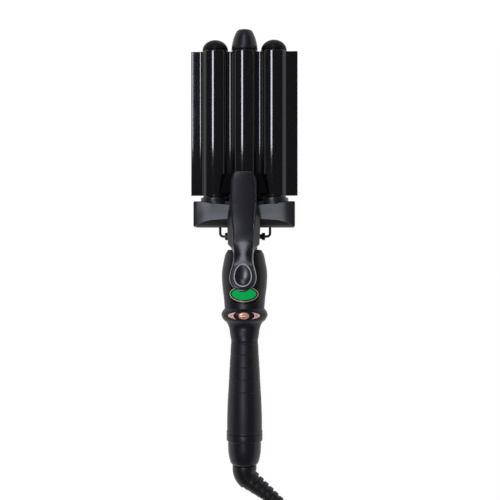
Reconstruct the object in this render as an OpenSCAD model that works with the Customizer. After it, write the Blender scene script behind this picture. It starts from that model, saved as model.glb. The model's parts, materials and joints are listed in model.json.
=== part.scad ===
// Three-barrel hair waver with a sprung wave clamp, a display, three buttons and a swivel cord.
// It lies on its back: +X right, +Y towards the barrel tips, +Z up towards the thumb lever.
// Lengths along the tool are counted from the bottom of the end cap.

/* [Barrels] */
// Outer radius of a heated barrel
barrel_r = 10.7; // [9.5:0.1:11.2]
// Wall of a barrel tube
barrel_wall = 1.1; // [0.8:0.1:1.6]
// Distance between the centre lines of two neighbouring barrels
barrel_pitch = 25.8; // [25.6:0.1:29]
// Length of a barrel above the block
barrel_length = 132.4; // [100:0.1:170]
// Depth of a barrel's seat in the block
barrel_seat = 12; // [9:0.5:13]
// Height of the dome on an outer barrel
dome_height = 9.8; // [6:0.1:10.4]
// Height of the cool tip on the centre barrel
tip_height = 18.4; // [14:0.1:26]
// Radius of the flat end of the cool tip
tip_end_r = 6.1; // [4:0.1:8]
// Amount that a dome and the cool tip stand out beyond their barrel
cap_flare = 0.6; // [0.2:0.1:0.7]
// Depth that a dome or the cool tip plugs into its barrel
plug_depth = 5; // [3:0.5:8]
// Outer radius of a collar at the foot of a barrel
collar_r = 12.5; // [11.8:0.1:12.6]
// Height of a collar
collar_height = 6.1; // [4:0.1:8]
// Depth that a collar is sunk into the block
collar_sink = 2.4; // [1:0.1:3]

/* [Heaters] */
// Length of a heater shoe
shoe_length = 96; // [60:1:120]
// Distance of a heater shoe from the foot of its barrel
shoe_start = 18; // [12:1:30]
// Width of a ceramic heater bar
bar_width = 9; // [6:0.5:12]
// Thickness of a ceramic heater bar
bar_thickness = 2.6; // [1.6:0.1:4]
// Radius of the thermal fuse
fuse_r = 1.6; // [1:0.1:2.2]
// Length of the thermal fuse
fuse_length = 10; // [6:0.5:14]

/* [Wave clamp] */
// Gap between a barrel and the closed wave plate
plate_gap = 0.7; // [0.4:0.1:1]
// Thickness of the wave plate
plate_thickness = 1.1; // [0.8:0.1:1.6]
// Inner radius of the bend in a valley of the wave plate
valley_r = 3.85; // [2.5:0.05:5]
// Overall width of the wave plate
plate_width = 93.3; // [88:0.1:98]
// Gap between the top of the collars and the wave plate
plate_lift = 1.2; // [0.8:0.1:4]
// Distance of the wave plate's far edge from the end of the barrel tube
plate_short = 1.4; // [0.5:0.1:10]
// Width of the saddle at its far edge
saddle_far_width = 31; // [27:0.5:36]
// Width of the saddle at its near edge
saddle_near_width = 41.4; // [36:0.1:48]
// Length of the saddle along the tool
saddle_length = 17.2; // [14:0.1:24]
// Distance of the saddle from the near edge of the wave plate
saddle_inset = 1.8; // [1:0.1:6]
// Height of the saddle's top above the ridges of the wave plate
saddle_rise = 2.1; // [1.6:0.1:3]
// Radius of a saddle rivet
rivet_r = 1.5; // [1:0.1:2]
// Distance of a saddle rivet from the middle
rivet_x = 6; // [4:0.5:8]
// Thickness of the head of a saddle rivet
rivet_head = 0.8; // [0.5:0.1:1]

/* [Lever] */
// Height of the hinge pin above the table
hinge_z = 24; // [23:0.1:25]
// Distance of the hinge pin from the top of the handle's head
hinge_reach = 11.8; // [11:0.1:14]
// Radius of the hinge pin
pin_r = 2; // [1.5:0.1:2.4]
// Radius of the round foot of a hinge cheek
cheek_r = 7.3; // [6:0.1:7.6]
// Thickness of a hinge cheek
cheek_wall = 2.1; // [1.6:0.1:2.6]
// Half-width of the egg-shaped thumb pad
pad_half_width = 8.4; // [6:0.1:9]
// Length of the thumb pad
pad_length = 20.4; // [16:0.1:22]
// Thickness of the thumb pad
pad_thickness = 1.8; // [1.4:0.1:2.4]
// Depth of the hollow in the thumb pad
pad_dish = 0.9; // [0.4:0.1:1.2]
// Wire radius of the torsion spring
spring_wire_r = 0.6; // [0.4:0.05:0.8]
// Radius of the torsion spring's turns
spring_turn_r = 3.1; // [2.9:0.1:3.3]
// Number of turns of the torsion spring
spring_turns = 4; // [3:1:4]

/* [Block] */
// Width of the block that carries the barrels
block_width = 88.3; // [88:0.1:100]
// Length of the block along the tool
block_length = 22.4; // [20:0.1:28]
// Height of the block's face above the table
block_height = 28.6; // [28.2:0.1:30]
// Thickness of the block's raised front cover
cover_thickness = 3.2; // [2.5:0.1:4]
// Corner radius of the block
block_corner = 1.2; // [0.8:0.1:3]
// Gap between the hinge cheeks and the block
block_gap = 0.7; // [0.5:0.1:2]
// Width of the neck stem
stem_width = 22.2; // [20:0.1:24]
// Height of the neck stem's front above the table
stem_front = 27.5; // [26.8:0.1:28]
// Height of the neck stem's back above the table
stem_back = 2; // [0.5:0.1:3]
// Width of the tenon at each end of the neck stem
tenon_width = 16; // [12:0.5:18]
// Half-height of the tenon at each end of the neck stem
tenon_half_height = 8.2; // [7:0.1:8.4]
// Length of the tenon inside the head
tenon_length = 16; // [10:0.5:18]

/* [Stand] */
// Radius of the stand's wire
wire_r = 1.15; // [0.9:0.05:1.2]
// Distance of a leg of the stand from the middle
stand_half_width = 22.3; // [20:0.1:24]
// Length of the stand from its pivot
stand_length = 61; // [40:1:70]
// Height of the stand's pivot above the table
stand_z = 4; // [3.8:0.1:4.2]
// Radius of the bends in the stand's wire
stand_bend = 2.8; // [2.4:0.1:3.2]
// Radius of the flange of a stand bush
bush_r = 3.4; // [2.4:0.1:3.6]
// Thickness of the flange of a stand bush
bush_flange = 3; // [2:0.1:3.2]
// Length of the sleeve of a stand bush
bush_sleeve = 3.8; // [3:0.1:4]

/* [Head] */
// Largest half-width of the head
head_r = 20; // [18:0.1:22]
// Length of the head above the crease
head_length = 51.5; // [50:0.1:56]
// Largest half-width of the bulge that carries the buttons
bulge_r = 20.4; // [19.6:0.1:20.5]
// Length of the bulge from the grip to the crease
bulge_length = 29.3; // [28:0.1:34]
// Depth of the head as a share of its width
head_flatten = 0.8; // [0.79:0.005:0.8]
// Wall of the head shells
head_wall = 2; // [1.6:0.1:2.4]
// Half-width of the display's bezel
bezel_half_width = 13.5; // [12:0.1:14]
// Half-height of the display's bezel
bezel_half_height = 6.9; // [6:0.1:7.5]
// Width of the bezel's rim
bezel_rim = 0.8; // [0.5:0.1:1.2]
// Width of the dark mask inside the bezel
mask_rim = 1.4; // [0.8:0.1:2]
// Distance of the display from the crease
display_reach = 12; // [10:0.1:16]
// Height that the bezel stands above the head
bezel_rise = 0.5; // [0.3:0.1:0.8]

/* [Buttons] */
// Distance of the row of buttons from the crease
button_reach = 6.7; // [5.7:0.1:7.7]
// Half-width of the group of buttons
button_half_width = 14.6; // [13:0.1:15]
// Half-height of the group of buttons
button_half_height = 3.4; // [3:0.1:3.6]
// Half-width of the middle button
power_half_width = 5.3; // [4.5:0.1:6]
// Gap between the middle button and its neighbours, along the row
button_gap = 3.4; // [2.8:0.1:3.8]
// How far the neighbours' hollow side reaches past the row, in the middle
button_hollow = 2.1; // [1.7:0.1:2.5]
// Clearance around a button
button_fit = 0.2; // [0.15:0.05:0.3]
// Height that the buttons stand above the bulge
button_rise = 0.6; // [0.4:0.1:1]
// Travel of a button
button_travel = 0.6; // [0.3:0.1:0.7]
// Thickness of the control board
board_thickness = 1.6; // [1:0.1:2]
// Height of the control board above the handle's axis
board_rise = 4.8; // [4:0.1:5.2]
// Height of a push switch
switch_height = 1.5; // [1:0.1:1.7]
// Width of a push switch
switch_width = 4; // [3:0.1:5]
// Distance of an outer push switch from the middle
switch_x = 11; // [10.6:0.1:11.4]

/* [Screws and leads] */
// Radius of a screw
screw_r = 1.3; // [1:0.1:1.4]
// Radius of the head of a screw
screw_head_r = 2.3; // [1.9:0.1:2.5]
// Height of the head of a screw
screw_head = 1.7; // [1.2:0.1:2]
// Radius of a screw boss
boss_r = 2.6; // [2.4:0.1:3]
// Distance of a screw boss from the middle
boss_x = 13.8; // [13.4:0.1:14.2]
// Radius of the bundle of leads
lead_r = 2.4; // [1.8:0.1:2.6]

/* [Grip] */
// Length of the end cap
cap_length = 21.1; // [18:0.1:28]
// Wall of the end cap
cap_wall = 2.4; // [1.8:0.1:2.6]
// Thickness of the end cap's floor, which holds the spindle
cap_floor = 2.6; // [2:0.1:2.8]
// Length of the carrier of the sliding contacts
carrier_length = 9.8; // [9:0.1:10.4]
// Radius of the end cap where it meets the tail collar
cap_r = 14.6; // [14:0.1:16]
// Length of the tail collar
tail_length = 9.1; // [7:0.1:14]
// Radius of the tail collar
tail_r = 15.85; // [15.5:0.05:16]
// Length of the grip
grip_length = 77.8; // [70:0.1:100]
// Radius of the grip at the tail
grip_tail_r = 15.4; // [14.8:0.1:15.8]
// Radius of the grip at its waist
grip_waist_r = 11.9; // [11.4:0.1:13]
// Wall of the grip
grip_wall = 2.4; // [1.8:0.1:2.6]
// Number of grooves around the grip
groove_count = 5; // [3:1:6]
// Distance between two grooves
groove_pitch = 11; // [9:0.5:12]
// Depth of a groove
groove_depth = 0.6; // [0.3:0.1:0.9]
// Width of a groove
groove_width = 1; // [0.6:0.1:1.6]
// Outer radius of the tube inside the grip
core_r = 7.6; // [7:0.1:7.8]
// Wall of the tube inside the grip
core_wall = 1.4; // [1:0.1:2]

/* [Swivel and cord] */
// Radius of the swivel boot
boot_r = 10.6; // [10:0.1:11]
// Radius of the boot's elbow
elbow_r = 9.6; // [8.5:0.1:10]
// Bend radius of the boot's elbow
elbow_bend = 11; // [10.5:0.1:14]
// Angle that the elbow turns through
elbow_angle = 52; // [40:1:60]
// Length of the straight part of the boot
boot_straight = 4.5; // [3:0.1:8]
// Gap between the boot and the end cap
boot_gap = 0.4; // [0.2:0.1:0.6]
// Radius of the spindle on which the boot turns
spindle_r = 6; // [5:0.1:6.5]
// Radius of the flange that holds the spindle
flange_r = 8.6; // [7.5:0.1:9]
// Thickness of the flange that holds the spindle
flange_thickness = 1.6; // [1.2:0.1:2]
// Length of the spindle's tail, which carries the slip rings
spindle_tail = 10.4; // [9.6:0.1:10.6]
// Width of a slip ring
ring_width = 2.4; // [1.8:0.1:2.8]
// Length of the strain relief
relief_length = 42; // [30:1:50]
// Radius of the strain relief at the boot
relief_r = 8.9; // [8:0.1:9.4]
// Radius of the strain relief at the cord
relief_end_r = 4.5; // [4:0.1:5]
// Number of ribs of the strain relief
rib_count = 7; // [5:1:8]
// Radius of the mains cord
cord_r = 3.25; // [2.8:0.05:3.6]

/* [Clearances] */
// Radial clearance of a running pin or spindle
running_fit = 0.06; // [0.03:0.01:0.09]
// Clearance between two pieces that are fastened together
seat_fit = 0.05; // [0.02:0.01:0.1]
// Clearance between a piece that moves and the pieces around it
moving_gap = 0.4; // [0.3:0.05:0.5]

/* [Hidden] */
$fn = 72;

// Colours
shell_black = "#26262a";
gloss_black = "#0e0e10";
cover_grey = "#5a5c63";
metal_grey = "#8c8c90";
gold = "#c9a66b";
rose = "#c98f78";
screen_green = "#0aa850";
brass = "#b08d4a";
board_green = "#1f5a3a";
ceramic_white = "#e6e2d8";

// Heights above the table
back_gap = 0.08;
axis_z = bulge_r * head_flatten + back_gap;
stand_clear_z = stand_z + wire_r + moving_gap;

// Stations along the tool
tail_s = cap_length;
grip_s = tail_s + tail_length;
flange_s = cap_floor + moving_gap;
spindle_top_s = flange_s + flange_thickness + spindle_tail;
tail_rod_r = spindle_r - 1.4;
carrier_s = flange_s + flange_thickness + 2.4;
bulge_s = grip_s + grip_length;
core_top_s = bulge_s + 8;
crease_s = bulge_s + bulge_length;
head_top_s = crease_s + head_length;
hinge_s = head_top_s + hinge_reach;
block_s = hinge_s + cheek_r + block_gap;
block_top_s = block_s + block_length;
barrel_foot_s = block_top_s - barrel_seat;
barrel_top_s = block_top_s + barrel_length;
tip_top_s = barrel_top_s + tip_height;
collar_s = block_top_s - collar_sink;
collar_top_s = collar_s + collar_height;
plate_s = collar_top_s + plate_lift;
plate_top_s = barrel_top_s - plate_short;
saddle_s = plate_s + saddle_inset;
display_s = crease_s + display_reach;
button_s = crease_s - button_reach;
stand_s = hinge_s;
saddle_mid_s = saddle_s + saddle_length / 2;

// Elbow of the boot
elbow_x = elbow_bend * (1 - cos(elbow_angle));
elbow_s = -boot_straight - elbow_bend * sin(elbow_angle);
relief_dir = [sin(elbow_angle), -cos(elbow_angle), 0];
boot_low_s = elbow_s - elbow_r * sin(elbow_angle);
mid_s = (tip_top_s + boot_low_s) / 2;

// Wave plate
ridge_in_r = barrel_r + plate_gap;
ridge_out_r = ridge_in_r + plate_thickness;
half_pitch = barrel_pitch / 2;
valley_z = sqrt(pow(ridge_out_r + valley_r, 2) - pow(half_pitch, 2));
valley_angle = acos(half_pitch / (ridge_out_r + valley_r));
ridge_top_z = axis_z + ridge_out_r;
saddle_top_z = ridge_top_z + saddle_rise;
rivet_top_z = saddle_top_z + 2.6;
rivet_head_r = 2 * rivet_r;
barrel_xs = [-barrel_pitch, 0, barrel_pitch];

// Block and stem
body_front_z = block_height - cover_thickness;
tenon_back = axis_z - tenon_half_height;
tenon_front = axis_z + tenon_half_height;
lead_z = axis_z - 2;
slot_half_width = 4;
slot_r = spring_turn_r + spring_wire_r + 0.7;
stand_end_x = stem_width / 2 - 2.5;
cheek_in_x = stem_width / 2 + 0.2;
cheek_out_x = cheek_in_x + cheek_wall;

// Heaters
bore_r = barrel_r - barrel_wall;
shoe_r = bore_r - seat_fit;
shoe_s = barrel_foot_s + shoe_start;
channel_r = fuse_r + 1.5;
channel_z = shoe_r - channel_r - 0.8;

// Board and screws
board_z = axis_z + board_rise;
board_top_z = board_z + board_thickness;
switch_top_z = board_top_z + switch_height;
button_foot_z = switch_top_z + button_travel + 0.2;
module_top_z = axis_z + 9.8;
boss_s = crease_s + 22.5;
post_reaches = [-6, 24];
shell_screw_z = 5.2;
shell_screw_depth = 5;
block_screw_z = 1.3;
block_screw_s = block_s + 5;

// Outlines of the turned pieces as shares of their length and of their radius
cap_shape = [[0, 0], [0.04, 0.225], [0.12, 0.475], [0.31, 0.75], [0.58, 0.95], [1, 1]];
bulge_shape = [
  [0, 0.571], [0.19, 0.62], [0.4, 0.665], [0.56, 0.76], [0.655, 0.905], [0.73, 0.967],
  [0.805, 1], [0.9, 0.965], [1, 0.858]
];
head_shape = [
  [0, 0.875], [0.2, 0.92], [0.35, 0.97], [0.53, 1], [0.65, 0.988], [0.8, 0.92],
  [0.915, 0.855], [0.957, 0.805], [1, 0.735]
];
grip_shape = [
  [0, 1], [0.15, 0.98], [0.33, 0.84], [0.53, 0.57], [0.7, 0.39], [0.85, 0.18], [1, 0]
];

// Lever as sections: place from the hinge, bottom and top above the hinge, half-widths
lever_seat = saddle_top_z + seat_fit - hinge_z;
lever_sections = [
  [55.2, lever_seat, 8.6, 11.4, 10], [54.4, lever_seat, 10.4, 12.7, 11.4],
  [51, lever_seat, 12, 12.7, 11.2], [44, lever_seat, 12.9, 12, 10.8],
  [36, lever_seat, 13.5, 11.5, 10.9], [29.4, 5.5, 13.9, 11.6, 11],
  [26.8, 5.5, 14.1, 12.4, 11], [16.4, 5.5, 14.9, 14.1, 10.2], [9, 5.5, 15.6, 14.2, 9.5],
  [2.4, 7.5, 16.4, 14, 9], [-3.6, 7.5, 17.5, 13.7, 8.7], [-7.2, 8.4, 18.9, 13.4, 8.5],
  [-9.6, 10.2, 20.2, 11.2, 8.3], [-13.6, 12.6, 22.3, 8.9, 8], [-18.6, 15.6, 24.8, 8.6, 7.8],
  [-22.6, 18, 26.3, 8.8, 7.9], [-25.6, 19.8, 27.2, 9.4, 8.6], [-30.6, 22.4, 28.5, 10.8, 10.1],
  [-35.2, 24.6, 29.7, 11.5, 10.9], [-40.6, 26.6, 31.1, 11, 10.4], [-44.1, 27.8, 32, 9.1, 8.4],
  [-46.6, 28.8, 32.3, 6.3, 5.6], [-48, 29.9, 32, 3.2, 2.6]
];
pad_slope = 14.6;
pad_from_hinge = -34.6;
pad_above_hinge = 29.55;
pad_rim = 0.5;

// Legs of the torsion spring, from the hinge, and the turn where the first one ends
spring_leg_rear = [[-5.6, 7.1], [-3.6, 5.9], [-1, 4.3]];
spring_leg_front = [[3.4, -2], [3.75, -3.7]];
spring_start = 58;

// Places of the slip rings from the floor of the end cap
ring_places = [4.9, 8.9];

// Cord: a stretch that ends beside a round coil, the coil's stacked turns, and a tail to the plug
cord_inset = 6;
relief_start = [elbow_x, elbow_s, axis_z];
relief_end = relief_start + relief_length * relief_dir;
coil_x = 40;
coil_s = -107;
coil_turn_r = 12 * cord_r;
coil_half = 3 * cord_r;
coil_low_z = 0.9;
coil_z = coil_low_z + coil_half;
beside_r = coil_turn_r + coil_half + cord_r + 2 * moving_gap;
tie_wall = 0.8;
tie_sweep = 18;
tie_angle = 100;
free_points = concat([
  relief_end - (cord_inset - seat_fit) * relief_dir, relief_end + 4 * relief_dir,
  [47, -46.6, 15.2], [57, -53, 12.2], [67, -59.6, 9.2], [75.6, -66.8, 6.8], [82.6, -75.2, 5]],
  [for (a = [25:-20:-195]) beside_coil(a, coil_low_z + cord_r)]);
plug_x = -5;
plug_s = -152;
plug_z = 7;
tail_points = concat(
  [for (a = [-35:-15:-80]) beside_coil(a, 17.2 - pow((a + 35) / 28, 2))],
  [[37, -159.6, 13], [27, -158.6, 11.9], [18.5, -156.5, 11.3], [11.5, -154.4, 10.6],
    [5.5, -152.6, 9.3], [0.5, -152, 7.6], [-3, plug_s, plug_z], [plug_x - 1, plug_s, plug_z],
    [plug_x - cord_inset + seat_fit, plug_s, plug_z]]);
plug_length = 28;
plug_pin_r = 2;
plug_pin_length = 19;
plug_pin_gap = 17.5;
plug_neck = 10;
plug_back = 6.6;
plug_front = 6.8;
plug_outline = [
  [7, -6], [13, -14], [plug_length, -17.6], [plug_length, 17.6], [13, 14], [7, 6]
];

// Functions
function unit(v) = v / norm(v);
function curve_point(a, b, c, d, t) =
  0.5 * (2 * b + (c - a) * t + (2 * a - 5 * b + 4 * c - d) * t * t
  + (3 * b - a - 3 * c + d) * t * t * t);
function smooth(p, steps) = concat(
  [for (i = [0:len(p) - 2]) for (j = [0:steps - 1])
    curve_point(p[max(i - 1, 0)], p[i], p[i + 1], p[min(i + 2, len(p) - 1)], j / steps)],
  [p[len(p) - 1]]);
function shaped(shape, start, length, radius, least = 0) =
  [for (p = shape) [least + p[1] * (radius - least), start + p[0] * length]];
function ellipse_points(a, b, steps = 40) =
  [for (i = [0:steps - 1]) [a * cos(i * 360 / steps), b * sin(i * 360 / steps)]];
function arc_points(x, z, r, from, to, steps) =
  [for (i = [0:steps]) [x + r * cos(from + (to - from) * i / steps),
    z + r * sin(from + (to - from) * i / steps)]];
function rounded_points(w, h, r, steps = 5) = concat(
  arc_points(w / 2 - r, h / 2 - r, r, 0, 90, steps),
  arc_points(r - w / 2, h / 2 - r, r, 90, 180, steps),
  arc_points(r - w / 2, r - h / 2, r, 180, 270, steps),
  arc_points(w / 2 - r, r - h / 2, r, 270, 360, steps));

// Outer line of the wave in a section across the barrels, from the right edge to the left,
// and the same line moved inwards by a thickness
function wave_points(inset) = concat(
  [[plate_width / 2, valley_z - valley_r - inset]],
  arc_points(barrel_pitch + half_pitch, valley_z, valley_r + inset, 270, 180 + valley_angle, 6),
  arc_points(barrel_pitch, 0, ridge_out_r - inset, valley_angle, 180 - valley_angle, 14),
  arc_points(half_pitch, valley_z, valley_r + inset, -valley_angle, valley_angle - 180, 10),
  arc_points(0, 0, ridge_out_r - inset, valley_angle, 180 - valley_angle, 14),
  arc_points(-half_pitch, valley_z, valley_r + inset, -valley_angle, valley_angle - 180, 10),
  arc_points(-barrel_pitch, 0, ridge_out_r - inset, valley_angle, 180 - valley_angle, 14),
  arc_points(-barrel_pitch - half_pitch, valley_z, valley_r + inset, -valley_angle, -90, 6),
  [[-plate_width / 2, valley_z - valley_r - inset]]);

function reversed(p) = [for (i = [len(p) - 1:-1:0]) p[i]];

// A point beside the coil at an angle and a height
function beside_coil(a, z) = [coil_x + beside_r * cos(a), coil_s + beside_r * sin(a), z];

// Rings of points around a path, for round wire and cord
function ring_at(path, i, r, sides, ref) =
  let (last = len(path) - 1)
  let (t = unit(path[min(i + 1, last)] - path[max(i - 1, 0)]))
  let (u = unit(cross(t, ref)))
  let (v = cross(u, t))
  [for (k = [0:sides - 1]) path[i] + r * cos(k * 360 / sides) * u + r * sin(k * 360 / sides) * v];
function rings_along(path, r, sides, ref) =
  [for (i = [0:len(path) - 1]) ring_at(path, i, r, sides, ref)];

// Solids
module placed() {
  translate([0, -mid_s, 0]) children();
}

module loft(rings) {
  n = len(rings[0]);
  m = len(rings);
  points = [for (ring = rings) for (p = ring) p];
  sides = [for (i = [0:m - 2]) for (j = [0:n - 1]) for (k = [0, 1])
    k == 0 ? [i * n + j, i * n + (j + 1) % n, (i + 1) * n + (j + 1) % n]
      : [i * n + j, (i + 1) * n + (j + 1) % n, (i + 1) * n + j]];
  foot = [[for (j = [n - 1:-1:0]) j]];
  head = [[for (j = [0:n - 1]) (m - 1) * n + j]];
  polyhedron(points = points, faces = concat(foot, sides, head));
}

module along(x = 0, z = 0) {
  translate([x, 0, z]) rotate([-90, 0, 0]) children();
}

// A turned solid around a line along the tool, from [radius, station] points
module turned(points, x = 0, z = axis_z) {
  along(x, z) rotate_extrude() polygon(points);
}

module rod(r, from, to, x = 0, z = axis_z) {
  along(x, z) translate([0, 0, from]) cylinder(r = r, h = to - from);
}

// A prism along the tool from a section in X and Z
module bar_along(points, from, to) {
  translate([0, to, 0]) rotate([90, 0, 0]) linear_extrude(height = to - from) polygon(points);
}

// A prism across the tool from a side view in Y and Z
module slab_across(points, from, to) {
  translate([from, 0, 0]) rotate([90, 0, 90]) linear_extrude(height = to - from)
    polygon(points);
}

module upright(points, from, to, s = 0) {
  translate([0, s, from]) linear_extrude(height = to - from) polygon(points);
}

module cross_rod(r, from, to, s, z) {
  translate([from, s, z]) rotate([0, 90, 0]) cylinder(r = r, h = to - from);
}

// The head and the bulge as one solid, grown or shrunk across by an offset
module head_solid(offset, steps, ends = 0) {
  outline = concat(
    smooth(shaped(bulge_shape, bulge_s, bulge_length, bulge_r), steps),
    smooth(shaped(head_shape, crease_s, head_length, head_r), steps));
  translate([0, 0, axis_z]) scale([1, 1, head_flatten]) rotate([-90, 0, 0]) rotate_extrude()
    polygon(concat([[0, bulge_s + ends]],
      [for (p = outline) [p[0] + offset, min(max(p[1], bulge_s + ends), head_top_s - ends)]],
      [[0, head_top_s - ends]]));
}

module head_hollow() {
  head_solid(-head_wall, 1, head_wall);
}

module button_outline(side, grow) {
  if (side == 0) polygon(ellipse_points(power_half_width + grow, button_half_height + grow));
  else difference() {
    intersection() {
      polygon(ellipse_points(button_half_width + grow, button_half_height + grow));
      translate([side > 0 ? 0 : -2 * button_half_width, -button_half_width])
        square(2 * button_half_width);
    }
    polygon(ellipse_points(power_half_width + button_gap - grow,
      button_half_height + button_hollow - grow));
  }
}

module button_prism(side, grow, from) {
  translate([0, button_s, from]) linear_extrude(height = 2 * bulge_r)
    button_outline(side, grow);
}

module display_prism(inset, from) {
  upright(ellipse_points(bezel_half_width - inset, bezel_half_height - inset), from,
    2 * bulge_r, display_s);
}

// Sub-parts of the tail and the grip
module end_cap() {
  color(shell_black) placed() difference() {
    turned(concat([[0, 0]], shaped(cap_shape, 0, cap_length, cap_r, boot_r), [[0, cap_length]]));
    rod(spindle_r + running_fit, -1, cap_length);
    rod(flange_r + moving_gap, cap_floor, cap_length + 1);
    rod(cap_r - cap_wall, carrier_s, cap_length + 1);
  }
}

module contact_carrier() {
  color(ceramic_white) placed() difference() {
    rod(cap_r - cap_wall - seat_fit, carrier_s + seat_fit, carrier_s + carrier_length);
    rod(spindle_r - 0.3, carrier_s, spindle_top_s + moving_gap);
  }
}

module tail_collar() {
  color(shell_black) placed() difference() {
    turned([[0, tail_s], [tail_r - 0.5, tail_s], [tail_r, tail_s + 0.6],
      [tail_r, tail_s + 6.2], [tail_r - 0.5, tail_s + 6.5], [tail_r, tail_s + 6.8],
      [tail_r, grip_s - 0.5], [tail_r - 0.4, grip_s], [0, grip_s]]);
    rod(core_r + seat_fit, tail_s - 1, grip_s + 1);
    rod(cap_r - cap_wall, tail_s + cap_wall, grip_s - cap_wall);
  }
}

module grip_sleeve() {
  outer = shaped(grip_shape, grip_s, grip_length, grip_tail_r, grip_waist_r);
  low = grip_s + grip_wall;
  high = bulge_s - grip_wall;
  color(shell_black) placed() difference() {
    turned(concat([[0, grip_s]], smooth(outer, 2), [[0, bulge_s]]));
    turned(concat([[0, low]], [for (p = outer) [p[0] - grip_wall, min(max(p[1], low), high)]],
      [[0, high]]));
    rod(core_r + seat_fit, grip_s - 1, bulge_s + 1);
    for (i = [0:groove_count - 1])
      grip_groove(bulge_s - 1.5 - i * groove_pitch);
  }
}

module grip_groove(s) {
  share = lookup((s - grip_s) / grip_length, grip_shape);
  r = grip_waist_r + (grip_tail_r - grip_waist_r) * share;
  difference() {
    rod(r + 2, s - groove_width / 2, s + groove_width / 2);
    rod(r - groove_depth, s - groove_width, s + groove_width);
  }
}

module handle_core() {
  color(metal_grey) placed() difference() {
    rod(core_r, tail_s + seat_fit, core_top_s);
    rod(core_r - core_wall, tail_s, core_top_s + 1);
  }
}

module power_lead() {
  color(gloss_black) placed() rod(lead_r, carrier_s + carrier_length + seat_fit,
    crease_s + post_reaches[0] - boss_r - seat_fit);
}

// Sub-parts of the head
module handle_front_shell() {
  color(shell_black) placed() difference() {
    union() {
      difference() {
        head_solid(0, 2);
        head_hollow();
      }
      intersection() {
        head_solid(-head_wall / 2, 1, head_wall);
        for (x = [-boss_x, boss_x]) translate([x, boss_s, axis_z])
          cylinder(r = boss_r, h = head_r);
      }
    }
    translate([-bulge_r - 1, bulge_s - 1, -1])
      cube([2 * (bulge_r + 1), head_top_s - bulge_s + 2, axis_z + 1]);
    head_passages();
    display_prism(-seat_fit, axis_z);
    for (side = [-1, 0, 1]) button_prism(side, button_fit, axis_z);
    for (x = [-boss_x, boss_x]) translate([x, boss_s, axis_z - 1])
      cylinder(r = screw_r, h = shell_screw_depth + 2);
  }
}

module head_passages() {
  rod(core_r + seat_fit, bulge_s - 1, core_top_s + 2);
  translate([-tenon_width / 2 - seat_fit, head_top_s - tenon_length / 2, tenon_back - seat_fit])
    cube([tenon_width + 2 * seat_fit, tenon_length, tenon_front - tenon_back + 2 * seat_fit]);
}

module handle_rear_shell() {
  color(shell_black) placed() difference() {
    union() {
      difference() {
        head_solid(0, 2);
        head_hollow();
      }
      intersection() {
        head_solid(-head_wall / 2, 1, head_wall);
        for (x = [-boss_x, boss_x]) translate([x, boss_s, 0]) cylinder(r = boss_r, h = axis_z);
      }
      intersection() {
        head_solid(-head_wall / 2, 1, head_wall);
        for (reach = post_reaches) translate([0, crease_s + reach, 0])
          cylinder(r = boss_r, h = board_z - seat_fit);
      }
    }
    difference() {
      translate([-bulge_r - 1, bulge_s - 1, axis_z])
        cube([2 * (bulge_r + 1), head_top_s - bulge_s + 2, 2 * bulge_r]);
      for (reach = post_reaches) translate([0, crease_s + reach, 0])
        cylinder(r = boss_r, h = board_z);
    }
    head_passages();
    for (x = [-boss_x, boss_x]) translate([x, boss_s, -1]) {
      cylinder(r = screw_r + seat_fit, h = axis_z + 2);
      cylinder(r = screw_head_r + seat_fit, h = shell_screw_z + screw_head + seat_fit + 1);
    }
  }
}

module screw(head_z, length) {
  translate([0, 0, head_z]) cylinder(r = screw_head_r, h = screw_head);
  translate([0, 0, head_z + 0.5]) cylinder(r = screw_r - seat_fit, h = length);
}

module shell_screws() {
  color(metal_grey) placed() for (x = [-boss_x, boss_x]) translate([x, boss_s, 0])
    screw(shell_screw_z, axis_z + shell_screw_depth - shell_screw_z);
}

module display_bezel() {
  color(gold) placed() intersection() {
    head_solid(bezel_rise / head_flatten, 2);
    difference() {
      display_prism(0, module_top_z - 0.6);
      display_prism(bezel_rim, axis_z);
    }
  }
}

module display_mask() {
  color(gloss_black) placed() intersection() {
    head_solid(0, 2);
    difference() {
      display_prism(bezel_rim + seat_fit, module_top_z + seat_fit);
      display_prism(bezel_rim + mask_rim, axis_z);
    }
  }
}

module lcd_screen() {
  color(screen_green) placed() intersection() {
    head_solid(-0.3, 2);
    display_prism(bezel_rim + mask_rim + seat_fit, module_top_z + seat_fit);
  }
}

module display_module() {
  half_w = bezel_half_width - bezel_rim - 3.1;
  half_h = bezel_half_height - bezel_rim - 2.6;
  color(gloss_black) placed() translate([-half_w, display_s - half_h, board_top_z + seat_fit])
    cube([2 * half_w, 2 * half_h, module_top_z - board_top_z - seat_fit]);
}

module control_board() {
  wide = switch_x + 3;
  narrow = boss_x - boss_r - 0.8;
  low = button_s - button_half_height;
  high = crease_s + post_reaches[1] + boss_r;
  color(board_green) placed() upright([[-wide, low], [wide, low], [wide, crease_s - 3],
    [narrow, crease_s], [narrow, high], [-narrow, high], [-narrow, crease_s],
    [-wide, crease_s - 3]], board_z, board_top_z);
}

module push_switches() {
  color(metal_grey) placed() for (x = [-switch_x, 0, switch_x])
    translate([x, button_s, board_top_z + seat_fit]) {
      translate([-switch_width / 2, -switch_width / 2, 0])
        cube([switch_width, switch_width, switch_height - 0.5]);
      cylinder(r = switch_width * 0.3, h = switch_height - seat_fit);
    }
}

module button(side) {
  color(rose) placed() intersection() {
    head_solid(button_rise / head_flatten, 2);
    button_prism(side, 0, button_foot_z);
  }
}

module button_minus() {
  button(-1);
}

module button_power() {
  button(0);
}

module button_plus() {
  button(1);
}

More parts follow.
